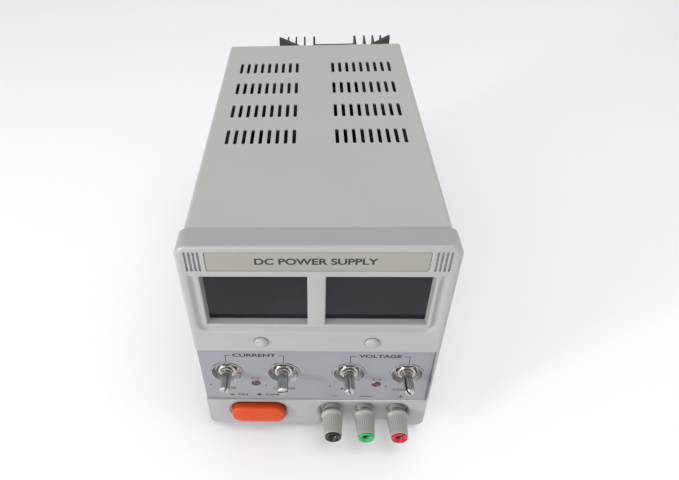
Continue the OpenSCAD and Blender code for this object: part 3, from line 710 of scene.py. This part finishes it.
def bezel_outline(side_inset, top_inset, low_inset, top_r):
    """Front view of the bezel: round upper corners and smaller round lower ones."""
    low_r = 5.0
    half = BEZEL_HALF - side_inset
    top, low = BEZEL_TOP - top_inset, BEZEL_LOW + low_inset
    corners = [(half - low_r, low + low_r, low_r, -90), (half - top_r, top - top_r, top_r, 0),
               (top_r - half, top - top_r, top_r, 90), (low_r - half, low + low_r, low_r, 180)]
    return [(cx + r * math.cos(a), cz + r * math.sin(a))
            for cx, cz, r, start in corners for a in arc(start, start + 90, 10)]


def bezel_body(bm):
    """Tub with straight sides that step in to the cover, and a top that falls towards the cover."""
    side_r, top_r, low_r, back_r = 2.9, 1.5, 1.4, 1.4
    draft = 0.3
    top_fall = BEZEL_TOP - COVER_TOP - 0.45
    depths = [0, 0.06, 0.2, 0.45, 0.8, 1.3, 2.0, 2.9]
    depths += [2.9 + (BEZEL_BACK - back_r - 2.9) * i / 4 for i in range(1, 5)]
    depths += [BEZEL_BACK - back_r + back_r * math.sin(a) for a in arc(20, 90, 5)]
    rings = []
    for depth in depths:
        t = depth / BEZEL_BACK
        step_in = round_inset(BEZEL_BACK - depth, back_r)
        rings.append(ring_at(bezel_outline(
            round_inset(depth, side_r) + draft * t + step_in,
            round_inset(depth, top_r) + top_fall * t + 0.2 * step_in,
            round_inset(depth, low_r), 7.0 - 3.0 * t), depth))
    loft(bm, rings)


def channel_path():
    """Centre line of the channel: down the left side of the windows, under them and up again."""
    half = span("right_window")[1].x - WINDOW_LAP + 3.8
    high = span("right_window")[1].z - WINDOW_LAP + 1.0
    low = span("right_window")[0].z + WINDOW_LAP - 4.2
    r = 4.0
    points = [(-half, high), (-half, high - 2), (-half, high - 5), (-half, (high + low) / 2)]
    points += [(-half + r + r * math.cos(a), low + r + r * math.sin(a)) for a in arc(180, 270, 8)]
    points += [(-half / 2, low), (0, low), (half / 2, low)]
    points += [(half - r + r * math.cos(a), low + r + r * math.sin(a)) for a in arc(-90, 0, 8)]
    points += [(half, (high + low) / 2), (half, high - 5), (half, high - 2), (half, high)]
    return [Vector(p) for p in points]


def channel_cutter(bm):
    """Soft valley swept along the channel's centre line, fading out at its two ends."""
    width, deep, steps = 5.2, 1.6, 12
    path = channel_path()
    rings = []
    for i, point in enumerate(path):
        ahead = path[min(i + 1, len(path) - 1)] - path[max(i - 1, 0)]
        across = Vector((ahead.y, -ahead.x)).normalized()
        ends = min(i, len(path) - 1 - i)
        depth = deep * (0.12, 0.75, 1.0)[min(ends, 2)]
        ring = []
        for k in range(steps + 1):
            s = k / steps - 0.5
            p = point + across * s * width
            y = -0.06 + (depth + 0.06) * (0.5 + 0.5 * math.cos(2 * math.pi * s)) ** 0.8
            ring.append((p.x, y, p.y))
        for s in (0.5, -0.5):
            p = point + across * s * width
            ring.append((p.x, -1.5, p.y))
        rings.append(ring)
    loft(bm, rings)


def strip_cutter(bm):
    """Space in front of the lower strip, which slants up into the two cheeks."""
    slant = 9.3
    side = BEZEL_HALF + 5
    top = PANEL_LOW + slant
    section = [(-3, -3), (STRIP_Y, -3), (STRIP_Y, PANEL_LOW), (0, top), (-3, top)]
    loft(bm, [[(x, y, z) for y, z in section] for x in (-side, side)])


def post_recess_outline(g):
    """Oblong round the binding posts that runs out through the bezel's lower edge."""
    r = 7.6 + g
    x0 = POST_X["black"] - 0.2
    x1 = POST_X["red"] - 0.5
    z = POST_Z + 1.6
    points = [(x1 + r * math.cos(a), z + r * math.sin(a)) for a in arc(-20, 90, 10)]
    points += [(x0 + r * math.cos(a), z + r * math.sin(a)) for a in arc(90, 200, 10)]
    drop = r * math.sin(math.radians(20))
    low = BEZEL_LOW - 4
    side = r * math.cos(math.radians(20))
    points += [(x0 - side + 0.8, z - drop - 3), (x0 - side + 1.2, low), (x1 + side - 1.2, low),
               (x1 + side - 0.8, z - drop - 3)]
    return points


def front_bezel():
    bm = bmesh.new()
    bezel_body(bm)
    shell = solid(bm, "front_shell")
    inner = COVER_HALF - 2.35
    web = PANEL_Y + 4.5
    boss_z = middle("screw_caps").z
    cap_x = span("screw_caps")[1].x - CAP_R
    cutters = [
        tool(block, (-inner, HOOD_WALL, PANEL_TOP + 2.4), (inner, BEZEL_BACK + 1, COVER_TOP - 2.2)),
        tool(block, (-inner, web, BEZEL_LOW + 2.4), (inner, BEZEL_BACK + 1, PANEL_TOP - 2.4)),
    ]
    carve(shell, cutters)
    joins = [tool(turned, x, POT_Z, [(web - 0.5, WELL_R + 1.8), (WELL_FLOOR + 2, WELL_R + 1.8)], 64)
             for x in POT_X.values()]
    joins += [tool(turned, s * cap_x, boss_z, [(HOOD_WALL - 0.5, 4.5), (BEZEL_BACK - 0.01, 4.5)])
              for s in (-1, 1)]
    carve(shell, joins, "UNION")

    cutters = [tool(window_cutter, node) for node in ("left_window", "right_window")]
    label = [(label_low.x + label_high.x) / 2, (label_low.z + label_high.z) / 2]
    label_w, label_h = label_high.x - label_low.x + 0.4, label_high.z - label_low.z + 0.4
    recess = lambda g: rounded_rect(*label, label_w + 2 * g, label_h + 2 * g, 1 + g)
    cutters.append(tool(pocket, recess, 0, 0.8, 0.4))
    for s in (-1, 1):
        for i in range(4):
            x = s * (BEZEL_HALF - 5.7 - 2.1 * i)
            outline = lambda g, x=x: rounded_rect(x, label[1], 1.0 + 2 * g, 12.6 + 2 * g, 0.45 + g, 4)
            cutters.append(tool(pocket, outline, 0, 1.3, 0.3, 0.2))
    cutters.append(tool(channel_cutter))
    carve(shell, cutters)

    cutters = [
        tool(block, (-BEZEL_HALF - 5, -2, PANEL_LOW), (CHEEK_X, PANEL_BACK, PANEL_TOP)),
        tool(strip_cutter),
        tool(pocket, post_recess_outline, STRIP_Y, PANEL_Y + 2.7, 2.6, 0.8),
    ]
    carve(shell, cutters)
    rim_r = WELL_R + WELL_RIM
    collars = [tool(turned, x, POT_Z, [(PANEL_Y - 0.5, rim_r), (web + 0.5, rim_r)], 64)
               for x in POT_X.values()]
    carve(shell, collars, "UNION")

    cutters = []
    for x in POT_X.values():
        cutters.append(tool(turned, x, POT_Z, [(PANEL_Y - 1, WELL_R), (WELL_FLOOR, WELL_R)], 64))
        cutters.append(tool(turned, x, POT_Z, [(PANEL_Y, 3.6), (WELL_FLOOR + 5, 3.6)]))
    for lamp in LEDS.values():
        cutters.append(tool(turned, lamp.x, lamp.z, [(PANEL_Y, 2.7), (web + 1, 2.7)]))
    for s in (-1, 1):
        outline = lambda g, x=s * cap_x: rounded_rect(x, boss_z, 7.8 + 2 * g, 7.8 + 2 * g, 3.9 + g, 12)
        cutters.append(tool(pocket, outline, 0, 3.0, 0.3))
        cutters.append(tool(turned, s * cap_x, boss_z, [(0, 1.6), (BEZEL_BACK + 1, 1.6)]))
    hole = lambda g: rounded_rect(BUTTON_X, BUTTON_Z, BUTTON_W + 1 + 2 * g, BUTTON_H + 1 + 2 * g,
                                  7 + g, 10)
    rim = lambda g: hole(g + 1.0)
    cutters.append(tool(pocket, hole, STRIP_Y, web + 1, 0))
    cutters.append(tool(pocket, rim, STRIP_Y, STRIP_Y + 0.8, 0.5, 0.2))
    for x in POST_X.values():
        cutters.append(tool(turned, x, POST_Z, [(STRIP_Y, 4.4), (web + 1, 4.4)]))
    carve(shell, cutters)
    round_edges(shell, 0.4, 3, 50)
    settle(shell)
    place(shell, "front_shell", "bezel_plastic", slot="bezel_plastic", stands_for=["front_bezel"], sharp=40)


def screw_caps():
    """Two domed plugs with a rounded skirt."""
    z = middle("screw_caps").z
    for side, s in (("left", -1), ("right", 1)):
        x = s * (span("screw_caps")[1].x - CAP_R)
        section = [(1.0, 3.4), (0.2, 3.75), (-0.1, CAP_R)]
        section += [(-0.1 - 2.1 * math.sin(a), CAP_R * math.cos(a)) for a in arc(8, 84, 9)]
        bm = bmesh.new()
        turned(bm, x, z, section, 40)
        names = ["screw_caps"]
        piece(bm, side + "_screw_cap", "bezel_plastic", slot="bezel_plastic", stands_for=names, sharp=50)


# ---------------------------------------------------------------- controls

def knurled_shafts():
    """Split metal shafts with splines, each left at its own angle."""
    tip, back = span("current_fine_shaft")[0].y, span("current_fine_shaft")[1].y
    spline_end = tip + 11
    splines = 18
    groove = span("pot_bushes")[0].y - 0.7
    disc = back - 3

    def shape(angle, depth, radius):
        if radius < 2.9 or depth > spline_end:
            return radius
        return radius - 0.3 * (0.5 - 0.5 * math.cos(splines * angle)) ** 2

    section = [(tip, 2.0), (tip + 0.05, 2.3), (tip + 0.7, 2.95), (tip + 1.2, 3.0), (spline_end - 0.4, 3.0),
               (spline_end, 3.0), (spline_end + 0.3, 3.0), (groove, 3.0), (groove + 0.05, 2.5),
               (groove + 0.7, 2.5), (groove + 0.75, 3.0), (disc, 3.0), (disc + 0.05, 6.0), (back, 6.0)]
    for name, turn in POTS.items():
        x = POT_X[name]
        bm = bmesh.new()
        turned(bm, x, POT_Z, section, splines * 8, shape=shape)
        shaft = solid(bm, name)
        bm = bmesh.new()
        block(bm, (-0.5, tip - 1, -4), (0.5, tip + 9, 4))
        bmesh.ops.transform(bm, matrix=Matrix.Rotation(math.radians(turn), 4, "Y"), verts=bm.verts)
        bmesh.ops.translate(bm, vec=(x, 0, POT_Z), verts=bm.verts)
        carve(shaft, [solid(bm)])
        place(shaft, name + "_spindle", "shaft_metal", name + "_control", "shaft_metal",
              [name + "_shaft"], 40)


def hexagon(flat_r, chamfer_r):
    """Radius of a hexagon with its corners turned down to chamfer_r at the two faces."""
    def shape(angle, depth, radius):
        turn = (angle % (math.pi / 3)) - math.pi / 6
        side = flat_r / math.cos(turn)
        return side if radius > chamfer_r else min(side, radius)
    return shape


def pot_hardware():
    """Chamfered nut and threaded bush of each control."""
    nut_low, nut_high = span("pot_nuts")
    bush_low, bush_high = span("pot_bushes")
    flat = (nut_high.z - nut_low.z) / 2
    for name, x in POT_X.items():
        bm = bmesh.new()
        outer = [(nut_low.y, flat - 0.2), (nut_low.y + 0.25, flat + 0.05), (nut_low.y + 0.7, 9.0),
                 (nut_high.y - 0.5, 9.0), (nut_high.y, flat + 0.1)]
        shape = hexagon(flat, flat + 0.3)
        bore = [(nut_high.y, 3.55), (nut_low.y + 0.3, 3.55), (nut_low.y, 3.9)]
        turned(bm, x, POT_Z, outer + bore, 72, closed=True,
               shape=lambda a, d, r: shape(a, d, r) if r > 4.5 else r)
        piece(bm, name + "_nut", "nickel_plate", slot="nickel_plate", stands_for=["pot_nuts"], sharp=30)
        bm = bmesh.new()
        pitch = 0.5
        outer = [(bush_low.y, 3.2)]
        threads = int((nut_low.y - bush_low.y) / pitch)
        for i in range(threads):
            outer += [(bush_low.y + pitch * (i + 0.3), 3.5), (bush_low.y + pitch * (i + 0.8), 3.3)]
        outer += [(nut_low.y, 3.5), (bush_high.y, 3.5)]
        bore = [(bush_high.y, 3.05), (bush_low.y, 3.05)]
        turned(bm, x, POT_Z, outer + bore, 48, closed=True)
        piece(bm, name + "_bush", "nickel_plate", slot="nickel_plate", stands_for=["pot_bushes"],
              sharp=30)


def power_button():
    """Crowned button with a generous round along its front edge, and its stem."""
    edge, corner = 1.7, 6.5
    front, back = button_low.y, button_low.y + 9
    crown = 0.25

    def ring(inset, depth):
        return ring_at(rounded_rect(BUTTON_X, BUTTON_Z, BUTTON_W - 2 * inset, BUTTON_H - 2 * inset,
                                    corner - inset, 10), depth)

    bm = bmesh.new()
    rings = [ring(0.5, back), ring(0, back - 0.5), ring(0, front + crown + edge + 0.5)]
    rings += [ring(edge * (1 - math.cos(t)), front + crown + edge * (1 - math.sin(t)))
              for t in arc(0, 90, 8)]
    rings += [ring(edge + 1.3, front + crown * 0.45), ring(edge + 2.6, front + crown * 0.15),
              ring(edge + 3.9, front)]
    loft(bm, rings)
    stem = 2.5
    block(bm, (BUTTON_X - stem, back - 0.4, BUTTON_Z - stem),
          (BUTTON_X + stem, button_high.y, BUTTON_Z + stem))
    piece(bm, "power_button_cap", "orange_plastic", "button", "orange_plastic", ["power_button"], 45)


def indicator_lamps():
    """Round-nosed epoxy lamps with their flange."""
    for name, lamp in LEDS.items():
        low, high = span(name)
        nose = low.y
        section = [(nose + 1.2 * (1 - math.cos(a)), 2.45 * math.sin(a)) for a in arc(12, 90, 8)]
        section += [(high.y - 1.2, 2.45), (high.y - 1.2, 2.9), (high.y, 2.9)]
        bm = bmesh.new()
        turned(bm, lamp.x, lamp.z, section, 36)
        piece(bm, name + "_lens", "led_red", slot="led_red", stands_for=[name], sharp=40)


# ---------------------------------------------------------------- binding posts

def binding_posts():
    flutes = 28
    knob_low, knob_high = span("black_knob")
    ring_low, ring_high = span("black_ring")
    stud_low, stud_high = span("terminal_studs")
    tip, shoulder = knob_low.y, -1.2

    def fluted(angle, depth, radius):
        if radius < 4.6:
            return radius
        fade = blend_step((shoulder - 0.3 - depth) / 1.2) * blend_step((depth - tip - 0.2) / 1.5)
        return radius - 0.34 * fade * (0.5 - 0.5 * math.cos(flutes * angle)) ** 1.5

    for name in POSTS:
        x = POST_X[name]
        bm = bmesh.new()
        section = [(knob_high.y, 3.1), (knob_high.y, 5.7), (knob_high.y - 0.4, 6.0), (0.9, 6.3),
                   (0.5, 6.85), (0.1, 7.0), (-0.5, 6.9), (shoulder + 0.1, 6.5),
                   (shoulder - 0.4, 6.18), (shoulder - 1.2, 6.05)]
        steps = 6
        top_r, tip_r = 6.05, 5.35
        for i in range(1, steps):
            t = i / steps
            depth = shoulder - 1.2 + (tip + 1.0 - shoulder + 1.2) * t
            section.append((depth, top_r + (tip_r - top_r) * t))
        section += [(tip + 0.9, 5.33), (tip + 0.25, 5.3), (tip, 5.1), (tip, 3.1)]
        turned(bm, x, POST_Z, section, flutes * 6, closed=True, shape=fluted)
        piece(bm, name + "_cap_grip", "grey_plastic", name + "_cap", "grey_plastic",
              [name + "_knob"], 38)

        bm = bmesh.new()
        front, back = ring_low.y, ring_high.y
        section = [(back, 2.2), (back, 4.8), (front + 0.8, 4.95), (front + 0.35, 4.88),
                   (front + 0.08, 4.6), (front, 4.25), (front + 0.12, 3.9), (front + 0.5, 3.3),
                   (front + 0.95, 2.7), (front + 1.3, 2.2)]
        turned(bm, x, POST_Z, section, 48, closed=True)
        piece(bm, name + "_tip", "ring_" + name, name + "_cap", "ring_" + name, [name + "_ring"], 50)

        bm = bmesh.new()
        bore = 2.0
        section = [(stud_low.y, bore + 0.3), (stud_low.y, 2.8), (stud_low.y + 0.3, 3.0)]
        section += [(stud_high.y - 0.5, 3.0), (stud_high.y, 2.6), (stud_high.y, 0.2),
                    (stud_low.y + 15, 0.2), (stud_low.y + 14.9, bore), (stud_low.y + 0.4, bore)]
        turned(bm, x, POST_Z, section, 40, closed=True)
        piece(bm, name + "_stud", "brass", slot="brass", stands_for=["terminal_studs"], sharp=40)


# ---------------------------------------------------------------- screws

def cross_head_screw(length):
    """Pan-head screw that stands at the origin: its head rises along +Z and its shank goes down."""
    head_r, head_h = 3.0, 1.7
    section = [(-length, 1.1), (-length + 0.6, 1.5)]
    pitch = 0.6
    turns = int((length - 1) / pitch)
    for i in range(turns):
        section += [(-length + 0.6 + pitch * (i + 0.4), 1.25), (-length + 0.6 + pitch * (i + 1), 1.5)]
    section += [(0, 1.5), (0, head_r - 0.1), (0.25, head_r)]
    section += [(0.25 + (head_h - 0.25) * math.sin(a), head_r * math.cos(a) ** 0.6) for a in arc(15, 80, 6)]
    bm = bmesh.new()
    turned(bm, 0, 0, section, 32)
    bmesh.ops.rotate(bm, matrix=Matrix.Rotation(math.radians(90), 3, "X"), verts=bm.verts)
    screw = solid(bm, "screw")
    slots = []
    for turn in (0, 90):
        bm = bmesh.new()
        wide, narrow, reach, deep = 0.42, 0.2, 1.75, 1.3
        top = [(-reach, -wide, head_h + 0.2), (reach, -wide, head_h + 0.2), (reach, wide, head_h + 0.2),
               (-reach, wide, head_h + 0.2)]
        low = [(-reach * 0.35, -narrow, head_h - deep), (reach * 0.35, -narrow, head_h - deep),
               (reach * 0.35, narrow, head_h - deep), (-reach * 0.35, narrow, head_h - deep)]
        loft(bm, [low, top])
        bmesh.ops.rotate(bm, matrix=Matrix.Rotation(math.radians(turn), 3, "Z"), verts=bm.verts)
        slots.append(solid(bm))
    carve(screw, slots)
    return screw


def screws(name, node, length, spots):
    """A group of screws. Each spot is a place, the way its head points and a turn in degrees."""
    master = cross_head_screw(length)
    bm = bmesh.new()
    for spot, way, turn in spots:
        copy = master.data.copy()
        aim = Vector(way).to_track_quat("Z", "Y").to_matrix().to_4x4()
        copy.transform(Matrix.Translation(spot) @ aim @ Matrix.Rotation(math.radians(turn), 4, "Z"))
        bm.from_mesh(copy)
        bpy.data.meshes.remove(copy)
    discard(master)
    piece(bm, name, "zinc_screws", slot="zinc_screws", stands_for=[node], sharp=35)


def all_screws():
    """Screws of the cover, the feet, the rear wall and the mains inlet."""
    places = []
    for s in (-1, 1):
        for i, (y, z) in enumerate(((45, 12), (198, 12), (220, 112))):
            places.append(((s * COVER_HALF, y, z), (s, 0, 0), 20 + 35 * i))
    screws("cover_side_screws", "cover_screws", 5, places)
    rear_low = span("rear_screws")[0]
    wall = span("rear_panel")[1].y
    inlet = middle("mains_inlet")
    places = [((s * 40, wall, rear_low.z + 3), (0, 1, 0), 15 + 40 * s) for s in (-1, 1)]
    places += [((inlet.x, wall + 3, inlet.z + s * 20), (0, 1, 0), 30 + 25 * s) for s in (-1, 1)]
    screws("rear_wall_screws", "rear_screws", 6, places)
    feet_low, feet_high = span("feet")
    spots = []
    for x in (feet_low.x + 8.5, feet_high.x - 8.5):
        for y in (feet_low.y + 8.5, feet_high.y - 8.5):
            spots.append(((x, y, 3.0), (0, 0, -1), x + y))
    screws("foot_fixing_screws", "foot_screws", 7, spots)


# ---------------------------------------------------------------- printed marks

def lettering(name, text, x, z, width, height, depth, weight=0.0):
    """Printed word, centred at (x, z) and fitted to a width and a height."""
    curve = bpy.data.curves.new(name, "FONT")
    curve.body = text
    curve.size = 1.0
    curve.offset = weight
    curve.extrude = 0.01
    source = bpy.data.objects.new(name, curve)
    scene.collection.objects.link(source)
    bpy.context.view_layer.update()
    mesh = bpy.data.meshes.new_from_object(source)
    bpy.data.objects.remove(source)
    bpy.data.curves.remove(curve)
    xs = [v.co.x for v in mesh.vertices]
    ys = [v.co.y for v in mesh.vertices]
    sx, sy = width / (max(xs) - min(xs)), height / (max(ys) - min(ys))
    cx, cy = (max(xs) + min(xs)) / 2, (max(ys) + min(ys)) / 2
    for v in mesh.vertices:
        v.co = Vector((x + (v.co.x - cx) * sx, depth - v.co.z, z + (v.co.y - cy) * sy))
    word = bpy.data.objects.new(name, mesh)
    scene.collection.objects.link(word)
    return place(word, name, "printing_ink", sharp=30)


PRINT_T = 0.02


def bars(name, depth, rects):
    """Printed bars, each with two corners (x, z)."""
    bm = bmesh.new()
    for x0, z0, x1, z1 in rects:
        block(bm, (x0, depth - PRINT_T, z0), (x1, depth + PRINT_T / 2, z1))
    return piece(bm, name, "printing_ink")


def bracket(name, x_mid, text_half, x0, x1, z, foot_z):
    """Line on both sides of a title that turns down to the two controls below it."""
    t = 0.2
    bars(name, PANEL_Y, [
        (x0, z - t, x_mid - text_half - 1.2, z + t), (x_mid + text_half + 1.2, z - t, x1, z + t),
        (x0 - t, foot_z, x0 + t, z + t), (x1 - t, foot_z, x1 + t, z + t)])


def printed_marks():
    depth = PANEL_Y - 0.005
    label_z = (label_low.z + label_high.z) / 2
    lettering("title_print", "DC POWER SUPPLY", -0.35, label_z + 0.2, 58.5, 4.1,
              label_low.y - 0.005, 0.028)
    top = POT_Z + 16.7
    foot = POT_Z + WELL_R + WELL_RIM + 0.5
    for word, fine, coarse, aside, width in (("CURRENT", "current_fine", "current_coarse", 0.5, 25.0),
                                             ("VOLTAGE", "voltage_fine", "voltage_coarse", 0.2, 24.0)):
        x = (POT_X[fine] + POT_X[coarse]) / 2
        lettering(word.lower() + "_print", word, x + aside, top, width, 3.0, depth, 0.032)
        bracket(word.lower() + "_bracket", x + aside, width / 2 + 0.2,
                POT_X[fine] + aside, POT_X[coarse] + aside, top - 0.3, foot)
        small_z = POT_Z - WELL_R - 6.9
        lettering(word.lower() + "_fine_print", "FINE", POT_X[fine], small_z, 8.2, 2.1, depth, 0.02)
        lettering(word.lower() + "_coarse_print", "COARSE", POT_X[coarse], small_z, 13.4, 2.1,
                  depth, 0.02)
    for name, word in (("cc_led", "C.C"), ("cv_led", "C.V")):
        lamp = LEDS[name]
        lettering(word[0].lower() + word[2].lower() + "_print", word, lamp.x, lamp.z + 5.0,
                  5.4, 2.2, depth, 0.02)
    low_z = PANEL_LOW + 4.6
    lettering("on_print", "ON", BUTTON_X - 9, low_z, 6.0, 2.0, depth, 0.02)
    lettering("off_print", "OFF", BUTTON_X + 9.4, low_z, 8.6, 2.0, depth, 0.02)
    bars("switch_marks", PANEL_Y, [
        (BUTTON_X - 16.9, low_z - 0.9, BUTTON_X - 14.3, low_z + 0.3),
        (BUTTON_X + 0.2, low_z - 0.9, BUTTON_X + 2.5, low_z + 1.1)])
    post_z = PANEL_LOW + 3.9
    dash, t = 1.6, 0.24
    marks = [(POST_X["black"] + 0.7 - dash, post_z - t, POST_X["black"] + 0.7 + dash, post_z + t),
             (POST_X["green"] - 4, post_z - t, POST_X["green"] + 4, post_z + t),
             (POST_X["red"] + 1.1 - dash, post_z - t, POST_X["red"] + 1.1 + dash, post_z + t),
             (POST_X["red"] + 1.1 - t, post_z - dash, POST_X["red"] + 1.1 + t, post_z + dash)]
    bars("post_marks", PANEL_Y, marks)
    bm = bmesh.new()
    for x in POT_X.values():
        turned(bm, x - 11.05, POT_Z - 12.9, [(PANEL_Y - PRINT_T, 0.58), (PANEL_Y + 0.01, 0.58)], 16)
    piece(bm, "scale_dots", "printing_ink")


# ---------------------------------------------------------------- meters behind the windows

def meter_modules():
    """Module with three seven-segment figures and a decimal point behind each window."""
    low, high = span("display_modules")
    w, h = 44.0, high.z - low.z
    for side, node in (("left", "left_window"), ("right", "right_window")):
        x, z = middle(node).x, middle(node).z
        bm = bmesh.new()
        rings = [ring_at(rounded_rect(x, z, w - 2 * i, h - 2 * i, 0.8), y)
                 for i, y in ((0, high.y), (0, low.y + 0.4), (0.3, low.y))]
        loft(bm, rings)
        piece(bm, side + "_meter", "meter_face", slot="black_plastic",
              stands_for=["display_modules"])
        bm = bmesh.new()
        fw, fh, t = 7.2, 14.2, 1.3
        front = low.y - 0.06
        for i in (-1, 0, 1):
            cx = x + i * 12.7
            for sz in (-1, 0, 1):
                block(bm, (cx - fw / 2 + t, front, z + sz * (fh / 2 - t / 2) - t / 2),
                      (cx + fw / 2 - t, low.y + 0.3, z + sz * (fh / 2 - t / 2) + t / 2))
            for sx in (-1, 1):
                for sz in (-1, 1):
                    cz = z + sz * (fh / 4)
                    block(bm, (cx + sx * (fw / 2 - t / 2) - t / 2, front, cz - fh / 4 + t),
                          (cx + sx * (fw / 2 - t / 2) + t / 2, low.y + 0.3, cz + fh / 4 - t))
            turned(bm, cx + fw / 2 + 1.6, z - fh / 2 + t / 2, [(front, 0.7), (low.y + 0.3, 0.7)], 16)
        piece(bm, side + "_meter_figures", "meter_segment", slot="led_red")


# ---------------------------------------------------------------- CAD nodes that stay

SOFT_EDGES = {
    "case_cover": 0.15, "bottom_tray": 0.12, "rear_panel": 0.15, "feet": 0.6, "heat_sink": 0.22,
    "mains_inlet": 0.4, "fuse_holder": 0.3, "fuse_cap": 0.4, "voltage_selector": 0.3, "selector_slider": 0.2,
    "control_panel": 0.25, "name_label": 0.12, "left_window": 0.2, "right_window": 0.2,
    "pot_washers": 0.12, "terminal_insulators": 0.3, "black_clamp": 0.15, "green_clamp": 0.15,
    "red_clamp": 0.15, "terminal_nuts": 0.3, "power_switch": 0.4, "relays": 0.6, "filter_capacitors": 1.2,
    "bridge_rectifier": 0.5, "power_transistors": 0.4, "transformer_frame": 0.3, "transformer_winding": 1.5,
    "transformer_bolts": 0.3, "inlet_pins": 0.3, "led_collars": 0.2, "pot_bodies": 0.3, "fuse_link": 0.2,
}


def finish_cad_nodes():
    for node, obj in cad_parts.items():
        for own in obj.material_slots:
            own.material = finish(own.material.name.split(".")[0])
        if node in SOFT_EDGES:
            round_edges(obj, SOFT_EDGES[node], 2, 35, MM)


add_camera()
add_studio()
front_bezel()
screw_caps()
knurled_shafts()
pot_hardware()
power_button()
indicator_lamps()
binding_posts()
all_screws()
printed_marks()
meter_modules()
finish_cad_nodes()
